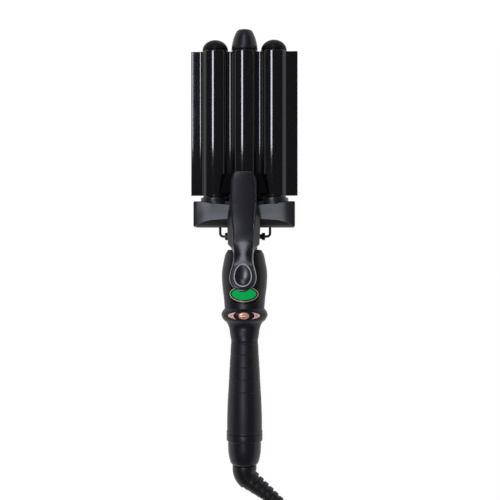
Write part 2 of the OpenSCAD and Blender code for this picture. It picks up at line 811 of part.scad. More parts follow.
// Sub-parts of the neck and the hinge
module neck_stem() {
  body_height = stem_front - stem_back;
  body_z = (stem_front + stem_back) / 2;
  section = [for (p = rounded_points(stem_width, body_height, 3)) [p[0], p[1] + body_z]];
  tenon = [for (p = rounded_points(tenon_width, tenon_front - tenon_back, 1.5))
    [p[0], p[1] + axis_z]];
  color(shell_black) placed() difference() {
    union() {
      bar_along(section, head_top_s + seat_fit, block_s - seat_fit);
      bar_along(tenon, head_top_s - tenon_length, barrel_foot_s - seat_fit);
    }
    rod(lead_r + seat_fit, head_top_s - tenon_length - 1, barrel_foot_s + 1, 0, lead_z);
    cross_rod(pin_r + 0.02, -stem_width, stem_width, hinge_s, hinge_z);
    translate([-slot_half_width, hinge_s - slot_r, hinge_z - slot_r])
      cube([2 * slot_half_width, 2 * slot_r, 20]);
    for (side = [0, 1]) mirror([side, 0, 0])
      cross_rod(wire_r + running_fit, stand_end_x - moving_gap, stem_width, stand_s, stand_z);
  }
}

module hinge_pin() {
  color(metal_grey) placed() cross_rod(pin_r, -cheek_out_x, cheek_out_x, hinge_s, hinge_z);
}

module torsion_spring() {
  turn_steps = 14;
  pitch = 2 * spring_wire_r + 0.12;
  sweep = 360 * spring_turns + spring_start;
  steps = round(turn_steps * sweep / 360);
  turns = [for (i = [0:steps])
    let (a = spring_start - sweep * i / steps)
    let (x = pitch * (i / steps - 0.5) * sweep / 360)
    [x, hinge_s + spring_turn_r * cos(a), hinge_z + spring_turn_r * sin(a)]];
  rear = [for (p = spring_leg_rear) [turns[0][0], hinge_s + p[0], hinge_z + p[1]]];
  front = [for (p = spring_leg_front) [turns[steps][0], hinge_s + p[0], hinge_z + p[1]]];
  color(metal_grey) placed() loft(rings_along(concat(rear, turns, front), spring_wire_r, 8,
    [1, 0, 0]));
}

module heater_lead() {
  color(gloss_black) placed()
    rod(lead_r, head_top_s - tenon_length - 6, barrel_foot_s - seat_fit, 0, lead_z);
}

// Sub-parts of the block
module block_side() {
  chamfer = block_corner / 2;
  slab_across([[block_s, chamfer], [block_s + chamfer, 0], [block_top_s - chamfer, 0],
    [block_top_s, chamfer], [block_top_s, body_front_z], [block_s + 5.2, body_front_z],
    [block_s + 1.6, body_front_z - 3.4], [block_s, body_front_z - 8.5]],
    -block_width / 2, block_width / 2);
}

module barrel_seats() {
  for (x = barrel_xs) {
    rod(barrel_r + seat_fit, barrel_foot_s, block_top_s + 1, x);
    rod(collar_r + seat_fit, collar_s, block_top_s + 1, x);
  }
}

module block_body() {
  middle_s = (block_s + block_top_s) / 2;
  plan = [for (p = rounded_points(block_width, block_length, block_corner))
    [p[0], p[1] + middle_s]];
  color(shell_black) placed() difference() {
    intersection() {
      block_side();
      upright(plan, 0, body_front_z);
    }
    barrel_seats();
    translate([-tenon_width / 2 - seat_fit, block_s - 1, tenon_back - seat_fit])
      cube([tenon_width + 2 * seat_fit, barrel_foot_s - block_s + 1.5,
        tenon_front - tenon_back + 2 * seat_fit]);
    for (x = [-stand_half_width, stand_half_width])
      translate([x - wire_r - moving_gap, block_s - 1, -1])
        cube([2 * (wire_r + moving_gap), block_length + 2, stand_clear_z + 1]);
    for (x = [-half_pitch, half_pitch]) translate([x, block_screw_s, -1]) {
      cylinder(r = screw_head_r + seat_fit, h = block_screw_z + screw_head + seat_fit + 1);
      cylinder(r = screw_r + seat_fit, h = body_front_z);
    }
  }
}

module block_front_cover() {
  half = block_width / 2;
  right = smooth([[14, block_s + 7], [28, block_s + 6], [36, block_s + 4.2],
    [half - 1.6, block_s + 0.7]], 2);
  ends = [[half - 0.6, block_s + 0.2], [half, block_s + 0.8], [half, block_top_s - 0.8],
    [half - 0.8, block_top_s], [30, block_top_s - 1.7], [14, block_top_s - 3.4]];
  outline = concat(right, ends);
  color(cover_grey) placed() difference() {
    upright(concat(outline, [for (p = reversed(outline)) [-p[0], p[1]]]),
      body_front_z, block_height);
    barrel_seats();
  }
}

module block_screws() {
  color(metal_grey) placed() for (x = [-half_pitch, half_pitch])
    translate([x, block_screw_s, 0]) screw(block_screw_z, body_front_z - block_screw_z - 4);
}

module stand_bushes() {
  inner = stem_width / 2 + seat_fit;
  color(gloss_black) placed() for (side = [0, 1]) mirror([side, 0, 0]) difference() {
    union() {
      cross_rod(2.2, inner, inner + bush_sleeve, stand_s, stand_z);
      cross_rod(bush_r, inner + bush_sleeve, inner + bush_sleeve + bush_flange, stand_s, stand_z);
    }
    cross_rod(wire_r + running_fit, inner - 1, stem_width, stand_s, stand_z);
  }
}

module stand_wire() {
  half = stand_half_width;
  far = stand_s + stand_length;
  color(gloss_black) placed() translate([0, 0, stand_z]) {
    for (side = [0, 1]) mirror([side, 0, 0]) {
      translate([stand_end_x, stand_s, 0]) rotate([0, 90, 0])
        cylinder(r = wire_r, h = half - stand_bend - stand_end_x);
      translate([half - stand_bend, stand_s + stand_bend, 0]) rotate([0, 0, -90])
        rotate_extrude(angle = 90) translate([stand_bend, 0]) circle(r = wire_r);
      translate([half, stand_s + stand_bend, 0]) rotate([-90, 0, 0])
        cylinder(r = wire_r, h = stand_length - 2 * stand_bend);
      translate([half - stand_bend, far - stand_bend, 0])
        rotate_extrude(angle = 90) translate([stand_bend, 0]) circle(r = wire_r);
    }
    translate([stand_bend - half, far, 0]) rotate([0, 90, 0])
      cylinder(r = wire_r, h = 2 * (half - stand_bend));
  }
}

// Sub-parts of the barrels
module barrel(x) {
  color(gloss_black) placed() difference() {
    rod(barrel_r, barrel_foot_s, barrel_top_s, x);
    rod(bore_r, barrel_foot_s - 1, barrel_top_s + 1, x);
  }
}

module barrel_left() {
  barrel(-barrel_pitch);
}

module barrel_centre() {
  barrel(0);
}

module barrel_right() {
  barrel(barrel_pitch);
}

module collar(x) {
  color(shell_black) placed() difference() {
    turned([[0, collar_s], [collar_r, collar_s], [collar_r, collar_top_s - 0.8],
      [collar_r - 0.6, collar_top_s], [0, collar_top_s]], x);
    rod(barrel_r + seat_fit, collar_s - 1, collar_top_s + 1, x);
    translate([x - collar_r, collar_s - 1, 0])
      cube([2 * collar_r, collar_height + 2, stand_clear_z]);
  }
}

module collar_left() {
  collar(-barrel_pitch);
}

module collar_centre() {
  collar(0);
}

module collar_right() {
  collar(barrel_pitch);
}

// The plug of a dome or of the cool tip, with its seat on the end of the barrel
function plug_points() = [
  [0, barrel_top_s - plug_depth], [shoe_r, barrel_top_s - plug_depth],
  [shoe_r, barrel_top_s + seat_fit], [barrel_r, barrel_top_s + seat_fit]
];

module dome(x) {
  straight = 0.5;
  color(gloss_black) placed() turned(concat(plug_points(),
    [for (i = [0:8]) [(barrel_r + cap_flare) * cos(i * 10),
      barrel_top_s + straight + (dome_height - straight) * sin(i * 10)]],
    [[0, barrel_top_s + dome_height]]), x);
}

module dome_left() {
  dome(-barrel_pitch);
}

module dome_right() {
  dome(barrel_pitch);
}

module cool_tip() {
  side = smooth([[barrel_r + 1.5 * cap_flare, barrel_top_s + 0.9],
    [barrel_r + cap_flare, barrel_top_s + tip_height * 0.23],
    [barrel_r - 0.6, barrel_top_s + tip_height * 0.54],
    [tip_end_r + 2.6, barrel_top_s + tip_height * 0.76],
    [tip_end_r + 1, tip_top_s - 1.2], [tip_end_r, tip_top_s - 0.2]], 2);
  color(shell_black) placed() turned(concat(plug_points(), side,
    [[tip_end_r - 1, tip_top_s], [0, tip_top_s]]));
}

module shoe(x) {
  split = 1.2;
  color(metal_grey) placed() difference() {
    rod(shoe_r, shoe_s, shoe_s + shoe_length, x);
    translate([x - bar_width / 2 - seat_fit, shoe_s - 1, axis_z - bar_thickness / 2 - seat_fit])
      cube([bar_width + 2 * seat_fit, shoe_length + 2, bar_thickness + 2 * seat_fit]);
    translate([x - shoe_r - 1, shoe_s - 1, axis_z - split / 2])
      cube([2 * shoe_r + 2, shoe_length + 2, split]);
    for (z = [axis_z - channel_z, axis_z + channel_z])
      rod(channel_r, shoe_s - 1, shoe_s + shoe_length + 1, x, z);
  }
}

module shoe_left() {
  shoe(-barrel_pitch);
}

module shoe_centre() {
  shoe(0);
}

module shoe_right() {
  shoe(barrel_pitch);
}

module heater_bar(x) {
  margin = 2;
  color(ceramic_white) placed()
    translate([x - bar_width / 2, shoe_s + margin, axis_z - bar_thickness / 2])
      cube([bar_width, shoe_length - 2 * margin, bar_thickness]);
}

module bar_left() {
  heater_bar(-barrel_pitch);
}

module bar_centre() {
  heater_bar(0);
}

module bar_right() {
  heater_bar(barrel_pitch);
}

module thermal_fuse() {
  z = axis_z + channel_z + channel_r - fuse_r - seat_fit;
  color(brass) placed() rod(fuse_r, shoe_s + 1, shoe_s + 1 + fuse_length, 0, z);
}

// Sub-parts of the clamp
module clamp_plate() {
  outline = concat(wave_points(0), reversed(wave_points(plate_thickness)));
  color(gloss_black) placed() translate([0, 0, axis_z]) bar_along(outline, plate_s, plate_top_s);
}

module saddle_plan() {
  near = saddle_near_width / 2;
  far = saddle_far_width / 2;
  upright([[-near, saddle_s], [near, saddle_s], [far, saddle_s + saddle_length],
    [-far, saddle_s + saddle_length]], axis_z + valley_z - valley_r + plate_thickness,
    saddle_top_z);
}

module clamp_saddle() {
  under = concat(wave_points(-seat_fit), [[-plate_width / 2, -5], [plate_width / 2, -5]]);
  color(gloss_black) placed() difference() {
    saddle_plan();
    translate([0, 0, axis_z]) bar_along(under, saddle_s - 1, saddle_s + saddle_length + 1);
    for (x = [-rivet_x, rivet_x])
      translate([x, saddle_mid_s, 0]) {
        cylinder(r = rivet_r + seat_fit, h = saddle_top_z + 1);
        cylinder(r = rivet_head_r + seat_fit, h = ridge_top_z + rivet_head + 2 * seat_fit);
      }
  }
}

module saddle_rivets() {
  color(metal_grey) placed() for (x = [-rivet_x, rivet_x])
    translate([x, saddle_mid_s, 0]) {
      translate([0, 0, ridge_top_z + seat_fit]) cylinder(r = rivet_head_r, h = rivet_head);
      translate([0, 0, ridge_top_z + rivet_head / 2])
        cylinder(r = rivet_r, h = rivet_top_z - seat_fit - ridge_top_z - rivet_head / 2);
    }
}

function lever_ring(row) =
  let (s = hinge_s + row[0])
  let (low = hinge_z + row[1])
  let (high = hinge_z + row[2])
  let (knee = low + 0.42 * (high - low))
  let (bevel = min(1.6, 0.3 * (high - low)))
  [[-row[3], s, low], [row[3], s, low], [row[3], s, knee], [row[4] + 0.2, s, high - bevel],
    [row[4] - 0.6 * bevel, s, high - 0.25 * bevel], [row[4] - 1.6 * bevel, s, high],
    [1.6 * bevel - row[4], s, high], [0.6 * bevel - row[4], s, high - 0.25 * bevel],
    [-row[4] - 0.2, s, high - bevel], [-row[3], s, knee]];

module pad_place() {
  translate([0, hinge_s + pad_from_hinge, hinge_z + pad_above_hinge])
    rotate([-pad_slope, 0, 0]) children();
}

function egg_points(grow) = [for (i = [0:35])
  let (a = i * 10)
  [(pad_half_width + grow) * sin(a) * (1 + 0.12 * cos(a)), -(pad_length / 2 + grow) * cos(a)]];

module lever() {
  cheek = concat(arc_points(hinge_s, hinge_z, cheek_r, 180, 360, 20),
    [[hinge_s + cheek_r, hinge_z + 9], [hinge_s - cheek_r + 0.4, hinge_z + 11]]);
  color(shell_black) placed() difference() {
    union() {
      loft([for (row = reversed(lever_sections)) lever_ring(row)]);
      slab_across(cheek, cheek_in_x, cheek_out_x);
      slab_across(cheek, -cheek_out_x, -cheek_in_x);
    }
    cross_rod(pin_r + running_fit, -stem_width, stem_width, hinge_s, hinge_z);
    pad_place() upright(egg_points(seat_fit), -pad_thickness, 10);
    for (x = [-rivet_x, rivet_x]) translate([x, saddle_mid_s, 0])
      cylinder(r = rivet_r + seat_fit, h = rivet_top_z);
  }
}

module thumb_pad() {
  dish_r = (pow(pad_half_width - 0.6, 2) + pow(pad_dish, 2)) / (2 * pad_dish);
  color(gloss_black) placed() pad_place() difference() {
    upright(egg_points(0), -pad_thickness + seat_fit, pad_rim);
    scale([1, pad_length / pad_half_width / 2, 1])
      translate([0, 0, pad_rim - pad_dish + dish_r]) sphere(r = dish_r);
  }
}

// Sub-parts of the swivel and the cord
module swivel_boot() {
  color(gloss_black) placed() {
    turned([[0, -boot_straight], [elbow_r, -boot_straight], [boot_r, -boot_gap - 1],
      [boot_r - 0.3, -boot_gap], [spindle_r, -boot_gap], [spindle_r, flange_s],
      [flange_r, flange_s], [flange_r, flange_s + flange_thickness],
      [tail_rod_r, flange_s + flange_thickness], [tail_rod_r, spindle_top_s],
      [0, spindle_top_s]]);
    translate([elbow_bend, -boot_straight, axis_z]) rotate([0, 0, 180])
      rotate_extrude(angle = elbow_angle) translate([elbow_bend, 0]) circle(r = elbow_r);
  }
}

module slip_rings() {
  color(brass) placed() for (place = ring_places) difference() {
    rod(spindle_r - 0.7, cap_floor + place, cap_floor + place + ring_width);
    rod(tail_rod_r + seat_fit, cap_floor, cap_floor + place + ring_width + 1);
  }
}

module strain_relief() {
  pitch = relief_length / rib_count;
  groove = 1.7;
  rib_edge = 0.4;
  ribs = [for (i = [0:rib_count - 1])
    let (r = relief_r + (relief_end_r - relief_r) * i / (rib_count - 1))
    for (k = [0:3])
      [k == 1 || k == 2 ? r : r - 1,
        i * pitch + [seat_fit, rib_edge, pitch - groove - rib_edge, pitch - groove][k]]];
  color(gloss_black) placed() translate(relief_start) rotate([0, 0, elbow_angle]) rotate([90, 0, 0])
    difference() {
      rotate_extrude() polygon(concat([[0, seat_fit]], ribs,
        [[relief_end_r - 0.4, relief_length], [0, relief_length]]));
      translate([0, 0, relief_length - cord_inset]) cylinder(r = cord_r + seat_fit, h = 10);
    }
}

module cord_tube() {
  color(gloss_black) placed() loft(rings_along(smooth(free_points, 2), cord_r, 10, [0, 0, 1]));
}

module cord_coil() {
  color(gloss_black) placed() translate([coil_x, coil_s, coil_z]) rotate_extrude()
    translate([coil_turn_r, 0]) polygon(rounded_points(2 * coil_half, 2 * coil_half, 3, 3));
}

module cord_tail() {
  color(gloss_black) placed() loft(rings_along(smooth(tail_points, 2), cord_r, 10, [0, 0, 1]));
}

module cord_tie() {
  inner = 2 * (coil_half + seat_fit);
  color(gloss_black) placed() translate([coil_x, coil_s, coil_z]) rotate([0, 0, tie_angle])
    rotate_extrude(angle = tie_sweep) translate([coil_turn_r, 0]) difference() {
      square(inner + 2 * tie_wall, center = true);
      square(inner, center = true);
    }
}

module plug_body() {
  color(gloss_black) placed() translate([plug_x, plug_s, plug_z]) rotate([0, 0, 180]) difference() {
    union() {
      rotate([0, 90, 0]) cylinder(r1 = 4.4, r2 = 6, h = plug_neck);
      upright(plug_outline, -plug_back, plug_front);
    }
    translate([-1, 0, 0]) rotate([0, 90, 0]) cylinder(r = cord_r + seat_fit, h = 1 + cord_inset);
  }
}

module plug_pins() {
  color(brass) placed() translate([plug_x, plug_s, plug_z]) rotate([0, 0, 180])
    for (y = [-plug_pin_gap / 2, plug_pin_gap / 2])
      translate([plug_length + seat_fit, y, 0]) rotate([0, 90, 0])
        cylinder(r = plug_pin_r, h = plug_pin_length);
}

end_cap();
contact_carrier();
tail_collar();
grip_sleeve();
handle_core();
power_lead();
handle_front_shell();
handle_rear_shell();
shell_screws();
display_bezel();
display_mask();
lcd_screen();
display_module();
control_board();
push_switches();
neck_stem();
hinge_pin();
torsion_spring();
heater_lead();
block_body();
block_front_cover();
block_screws();
stand_bushes();
barrel_left();
barrel_centre();
barrel_right();
collar_left();
collar_centre();
collar_right();
dome_left();
dome_right();
cool_tip();
shoe_left();
shoe_centre();
shoe_right();
bar_left();
bar_centre();
bar_right();
thermal_fuse();
clamp_plate();
clamp_saddle();
saddle_rivets();
lever();
thumb_pad();
stand_wire();
button_minus();
button_power();
button_plus();
swivel_boot();
slip_rings();
strain_relief();
cord_tube();
cord_coil();
cord_tail();
cord_tie();
plug_body();
plug_pins();
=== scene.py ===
"""Dressed model of a three-barrel hair waver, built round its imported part."""

import json
import math

import bmesh
import bpy
from mathutils import Matrix, Vector


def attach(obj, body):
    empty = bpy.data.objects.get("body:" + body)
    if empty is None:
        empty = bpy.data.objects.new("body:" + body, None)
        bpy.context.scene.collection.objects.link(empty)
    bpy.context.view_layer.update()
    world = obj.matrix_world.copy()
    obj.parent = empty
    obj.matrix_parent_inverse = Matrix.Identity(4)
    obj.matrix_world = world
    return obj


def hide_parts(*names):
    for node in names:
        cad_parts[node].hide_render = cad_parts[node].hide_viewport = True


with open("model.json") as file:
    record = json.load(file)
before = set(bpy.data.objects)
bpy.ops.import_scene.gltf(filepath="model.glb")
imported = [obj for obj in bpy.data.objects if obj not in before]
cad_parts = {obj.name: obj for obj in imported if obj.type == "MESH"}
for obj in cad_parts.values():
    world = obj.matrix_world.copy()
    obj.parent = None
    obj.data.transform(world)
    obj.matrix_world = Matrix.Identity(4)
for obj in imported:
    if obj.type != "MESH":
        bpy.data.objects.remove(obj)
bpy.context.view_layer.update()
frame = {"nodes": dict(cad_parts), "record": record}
nodes = frame["nodes"]
bpy.context.scene.view_settings.view_transform = "Standard"

# Stations along the tool in millimetres from the foot of the end cap, and heights above its back
MM = 0.001
MID_S = 180.534
AXIS_Z = 16.4
TAIL_S, GRIP_S, BULGE_S, CREASE_S, HEAD_TOP_S = 21.1, 30.2, 108.0, 137.3, 188.8
HINGE_S, HINGE_Z = 200.6, 24.0
BARREL_FOOT_S, COLLAR_S, COLLAR_TOP_S = 219.0, 228.6, 234.7
PLATE_S, PLATE_TOP_S = 235.9, 362.0
BARREL_TOP_S, TIP_TOP_S = 363.4, 381.8
DISPLAY_S, BUTTON_S = 150.4, 131.7
PITCH = 25.8
BLOCK_HALF = 44.15
CORD_R = 3.25


def spot(x, s, z):
    """A place in the maker's millimetres as a point of the frame."""
    return Vector((x * MM, (s - MID_S) * MM, z * MM))


def around(radius, degrees):
    a = math.radians(degrees)
    return radius * math.cos(a), radius * math.sin(a)


def arc(across, along, radius, start, turn, steps):
    """Points of an arc round a middle."""
    return [(across + x, along + y) for x, y in (
        around(radius, start + turn * i / steps) for i in range(steps + 1))]


def into_scene(name, data):
    thing = bpy.data.objects.new(name, data)
    bpy.context.scene.collection.objects.link(thing)
    return thing


def place_camera():
    """Straight above the front face, a little to its right."""
    aim, distance, lean = Vector((0.0048, 0.0080, 0.0164)), 0.75, math.radians(1.9)
    width_in_view = 0.44025
    data = bpy.data.cameras.new("camera")
    data.sensor_width = 36
    data.lens = data.sensor_width * distance / width_in_view
    data.clip_start = 0.01
    camera = into_scene("camera", data)
    camera.location = aim + distance * Vector((math.sin(lean), 0, math.cos(lean)))
    camera.rotation_euler = (0, lean, 0)
    bpy.context.scene.camera = camera


place_camera()

# Route of the cord: out of the strain relief, round beside the coil, nine turns, the tail
ELBOW_TURN, ELBOW_R, ELBOW_S = 52, 11, -4.5


def elbow(degrees):
    """A place on the bend of the boot, in millimetres."""
    a = math.radians(degrees)
    return ELBOW_R * (1 - math.cos(a)), ELBOW_S - ELBOW_R * math.sin(a), AXIS_Z


RELIEF_DIR = Vector((math.sin(math.radians(ELBOW_TURN)), -math.cos(math.radians(ELBOW_TURN)), 0))
RELIEF_START = Vector(elbow(ELBOW_TURN))
RELIEF_LENGTH = 42
RELIEF_END = RELIEF_START + RELIEF_LENGTH * RELIEF_DIR
COIL_X, COIL_S, COIL_TURN_R, COIL_HALF, COIL_LOW_Z = 40, -107, 39, 9.75, 0.9
COIL_Z = COIL_LOW_Z + COIL_HALF
BESIDE_R = COIL_TURN_R + COIL_HALF + CORD_R + 0.8
PLUG_X, PLUG_S, PLUG_Z = -5, -152, 7
# Where each turn lies in the coil's section, in diameters across and up from its middle
TURN_CELLS = [(1, -1), (0, -1), (-1, -1), (-1, 0), (-1, 1), (0, 1), (0, 0), (1, 0), (1, 1)]


def at_coil(angle, radius, z):
    x, s = around(radius, angle)
    return (COIL_X + x, COIL_S + s, z)


def turn_place(across, up, spread=1.0):
    """Radius and height of a turn, where the stack may be a little fuller than elsewhere."""
    diameter = 2 * CORD_R
    return (COIL_TURN_R + across * diameter * spread,
            COIL_LOW_Z + CORD_R + (up + 1) * diameter * spread)


def cord_route():
    route = [RELIEF_END - 5.95 * RELIEF_DIR, RELIEF_END + 4 * RELIEF_DIR,
             (47, -46.6, 15.2), (57, -53, 12.2), (67, -59.6, 9.2), (75.6, -66.8, 6.8),
             (82.6, -75.2, 5)]
    beside = (BESIDE_R, COIL_LOW_Z + CORD_R)
    route += [at_coil(a, *beside) for a in range(25, -196, -20)]
    first, change, step = -195, 60, 15
    for turn, cell in enumerate(TURN_CELLS):
        last_turn = turn == len(TURN_CELLS) - 1
        for a in range(step, 211 if last_turn else 361, step):
            share = min(a / change, 1)
            share = share * share * (3 - 2 * share)
            full = 1 + 0.22 * math.sin(math.pi * share)
            here = turn_place(*cell, full)
            before = turn_place(*TURN_CELLS[turn - 1], full) if turn else beside
            route.append(at_coil(first - 360 * turn - a, *(
                before[i] + (here[i] - before[i]) * share for i in (0, 1))))
    route += [at_coil(-60, 49.6, 17.1), at_coil(-72, 52.2, 15.4), at_coil(-84, 53.1, 13.9),
              (37, -160.2, 12.9), (27, -158.8, 11.9), (18.5, -156.5, 11.3),
              (11.5, -154.4, 10.6), (5.5, -152.6, 9.3), (0.5, -152, 7.6), (-3, PLUG_S, PLUG_Z),
              (PLUG_X - 1, PLUG_S, PLUG_Z), (PLUG_X - 5.95, PLUG_S, PLUG_Z)]
    return [spot(*p) for p in route]


def make_cord():
    data = bpy.data.curves.new("mains_cord", "CURVE")
    data.dimensions = "3D"
    data.resolution_u = data.render_resolution_u = 5
    data.bevel_depth = CORD_R * MM
    data.bevel_resolution = 4
    data.use_fill_caps = True
    route = cord_route()
    line = data.splines.new("BEZIER")
    line.bezier_points.add(len(route) - 1)
    for point, there in zip(line.bezier_points, route):
        point.co = there
        point.handle_left_type = point.handle_right_type = "AUTO"
    return into_scene("mains_cord", data)


mains_cord = make_cord()


# Node trees: shader groups that finishes share, geometry that repeats or follows a rule

def add(tree, kind, links=None, **settings):
    """A node with its settings, whose inputs are numbers or other nodes' outputs."""
    node = tree.nodes.new(kind)
    for name, value in settings.items():
        setattr(node, name, value)
    for key, value in (links or {}).items():
        if isinstance(value, bpy.types.NodeSocket):
            tree.links.new(value, node.inputs[key])
        else:
            node.inputs[key].default_value = value
    return node


def maths(tree, operation, a, b=0.0, clamp=False):
    return add(tree, "ShaderNodeMath", {0: a, 1: b}, operation=operation,
               use_clamp=clamp).outputs[0]


def times(tree, a, b, clamp=False):
    return maths(tree, "MULTIPLY", a, b, clamp)


def minus(tree, a, b):
    return maths(tree, "SUBTRACT", a, b)


def ranged(tree, value, low, high, to_low=0.0, to_high=1.0):
    return add(tree, "ShaderNodeMapRange", {
        "Value": value, "From Min": low, "From Max": high, "To Min": to_low,
        "To Max": to_high}).outputs[0]


def blend(tree, share, a, b, kind="RGBA"):
    first, result = (6, 2) if kind == "RGBA" else (2, 0)
    return add(tree, "ShaderNodeMix", {0: share, first: a, first + 1: b},
               data_type=kind).outputs[result]


def own_place(tree):
    return add(tree, "ShaderNodeTexCoord").outputs["Object"]


def noise(tree, where, scale, detail, roughness=0.5):
    return add(tree, "ShaderNodeTexNoise", {"Vector": where, "Scale": scale, "Detail": detail,
                                            "Roughness": roughness}).outputs["Fac"]


def scaled(tree, colour, factor):
    return add(tree, "ShaderNodeVectorMath", {0: colour, "Scale": factor},
               operation="SCALE").outputs[0]


def new_group(kind, name, given, results):
    """A tree with its inputs and outputs; an input's kind is named or follows from its value."""
    tree = bpy.data.node_groups.new(name, kind + "NodeTree")
    kinds = {int: "Int", float: "Float", tuple: "Color" if kind == "Shader" else "Vector"}
    for label, value in given.items():
        named = isinstance(value, str)
        socket = tree.interface.new_socket(label, in_out="INPUT", socket_type="NodeSocket" + (
            value if named else kinds[type(value)]))
        if not named:
            socket.default_value = value
    for label, result in results.items():
        tree.interface.new_socket(label, in_out="OUTPUT", socket_type="NodeSocket" + result)
    return (tree, tree.nodes.new("NodeGroupInput").outputs,
            tree.nodes.new("NodeGroupOutput").inputs)


def edge_wear_group():
    """A mask that is high along outer edges, broken up as handling would wear them."""
    tree, given, out = new_group("Shader", "edge wear", {
        "Width": 0.0006, "Amount": 1.0, "Patch size": 300.0}, {"Edge": "Float"})
    place = own_place(tree)
    true_normal = add(tree, "ShaderNodeNewGeometry").outputs["Normal"]
    round_normal = add(tree, "ShaderNodeBevel", {"Radius": given["Width"]}, samples=4)
    dot = add(tree, "ShaderNodeVectorMath", {0: true_normal, 1: round_normal.outputs[0]},
              operation="DOT_PRODUCT").outputs["Value"]
    edge = times(tree, minus(tree, 1.0, dot), 6.0, clamp=True)
    broken = ranged(tree, noise(tree, place, given["Patch size"], 4.0), 0.42, 0.62)
    tree.links.new(times(tree, times(tree, edge, broken), given["Amount"], clamp=True),
                   out["Edge"])
    return tree


def moulded_skin_group():
    """Height of a moulded surface: fine spark-eroded grain on a faint waviness."""
    tree, given, out = new_group("Shader", "moulded skin", {
        "Grain scale": 2500.0, "Waviness": 0.3}, {"Height": "Float"})
    place = own_place(tree)
    grain = noise(tree, place, given["Grain scale"], 3.0)
    pits = add(tree, "ShaderNodeTexVoronoi", {"Vector": place, "Scale": given["Grain scale"]})
    fine = maths(tree, "ADD", times(tree, grain, 0.6),
                 times(tree, pits.outputs["Distance"], 0.4))
    broad = times(tree, noise(tree, place, 60.0, 1.0), given["Waviness"])
    tree.links.new(maths(tree, "ADD", fine, broad), out["Height"])
    return tree


def handling_group():
    """Roughness that drifts over the surface where hands have polished or greased it."""
    tree, given, out = new_group("Shader", "handling", {
        "Roughness": 0.4, "Drift": 0.1, "Scale": 45.0}, {"Roughness": "Float"})
    place = own_place(tree)
    broad = noise(tree, place, given["Scale"], 5.0, 0.62)
    mixed = maths(tree, "ADD", times(tree, broad, 0.75),
                  times(tree, noise(tree, place, 900.0, 2.0), 0.25))
    drift = times(tree, times(tree, minus(tree, mixed, 0.5), given["Drift"]), 2.0)
    tree.links.new(maths(tree, "ADD", given["Roughness"], drift, clamp=True), out["Roughness"])
    return tree


def tone_group():
    """A colour that is a little lighter and darker from place to place, and pale where worn."""
    tree, given, out = new_group("Shader", "tone", {
        "Colour": (0.5, 0.5, 0.5, 1), "Worn colour": (0.6, 0.6, 0.6, 1), "Worn": 0.0,
        "Variation": 0.1, "Scale": 120.0}, {"Colour": "Color"})
    cloud = noise(tree, own_place(tree), given["Scale"], 6.0)
    shift = times(tree, minus(tree, cloud, 0.5), times(tree, given["Variation"], 4.0))
    toned = scaled(tree, given["Colour"], maths(tree, "ADD", 1.0, shift))
    tree.links.new(blend(tree, given["Worn"], toned, given["Worn colour"]), out["Colour"])
    return tree


def sparkle_group():
    """Tiny bright flecks of a ceramic coating, as a mask and as a height."""
    tree, given, out = new_group("Shader", "ceramic sparkle", {
        "Fleck scale": 2200.0, "Share": 0.1}, {"Fleck": "Float", "Height": "Float"})
    cells = add(tree, "ShaderNodeTexVoronoi", {"Vector": own_place(tree),
                                               "Scale": given["Fleck scale"]}).outputs
    dice = add(tree, "ShaderNodeSeparateColor", {0: cells["Color"]}).outputs
    chosen = maths(tree, "LESS_THAN", dice[0], given["Share"])
    tree.links.new(times(tree, chosen, ranged(tree, cells["Distance"], 0.55, 0.2)), out["Fleck"])
    tree.links.new(dice[1], out["Height"])
    return tree


def row_tree():
    """Repeats a piece in a straight row, each one to its share of the last one's width."""
    tree, given, out = new_group("Geometry", "row", {
        "Piece": "Geometry", "Count": 2, "Start": (0, 0, 0), "Step": (0, 0, 0),
        "Last width": 1.0, "Finish": "Material"}, {"Piece": "Geometry"})
    line = add(tree, "GeometryNodeMeshLine", {
        "Count": given["Count"], "Start Location": given["Start"], "Offset": given["Step"]},
        mode="OFFSET")
    index = add(tree, "GeometryNodeInputIndex").outputs[0]
    share = ranged(tree, index, 0.0, minus(tree, given["Count"], 1.0), 1.0, given["Last width"])
    scale = add(tree, "ShaderNodeCombineXYZ", {"X": share, "Y": share, "Z": 1.0})
    placed = add(tree, "GeometryNodeInstanceOnPoints", {
        "Points": line.outputs[0], "Instance": given["Piece"], "Scale": scale.outputs[0]})
    return end_tree(tree, placed.outputs[0], given, out)


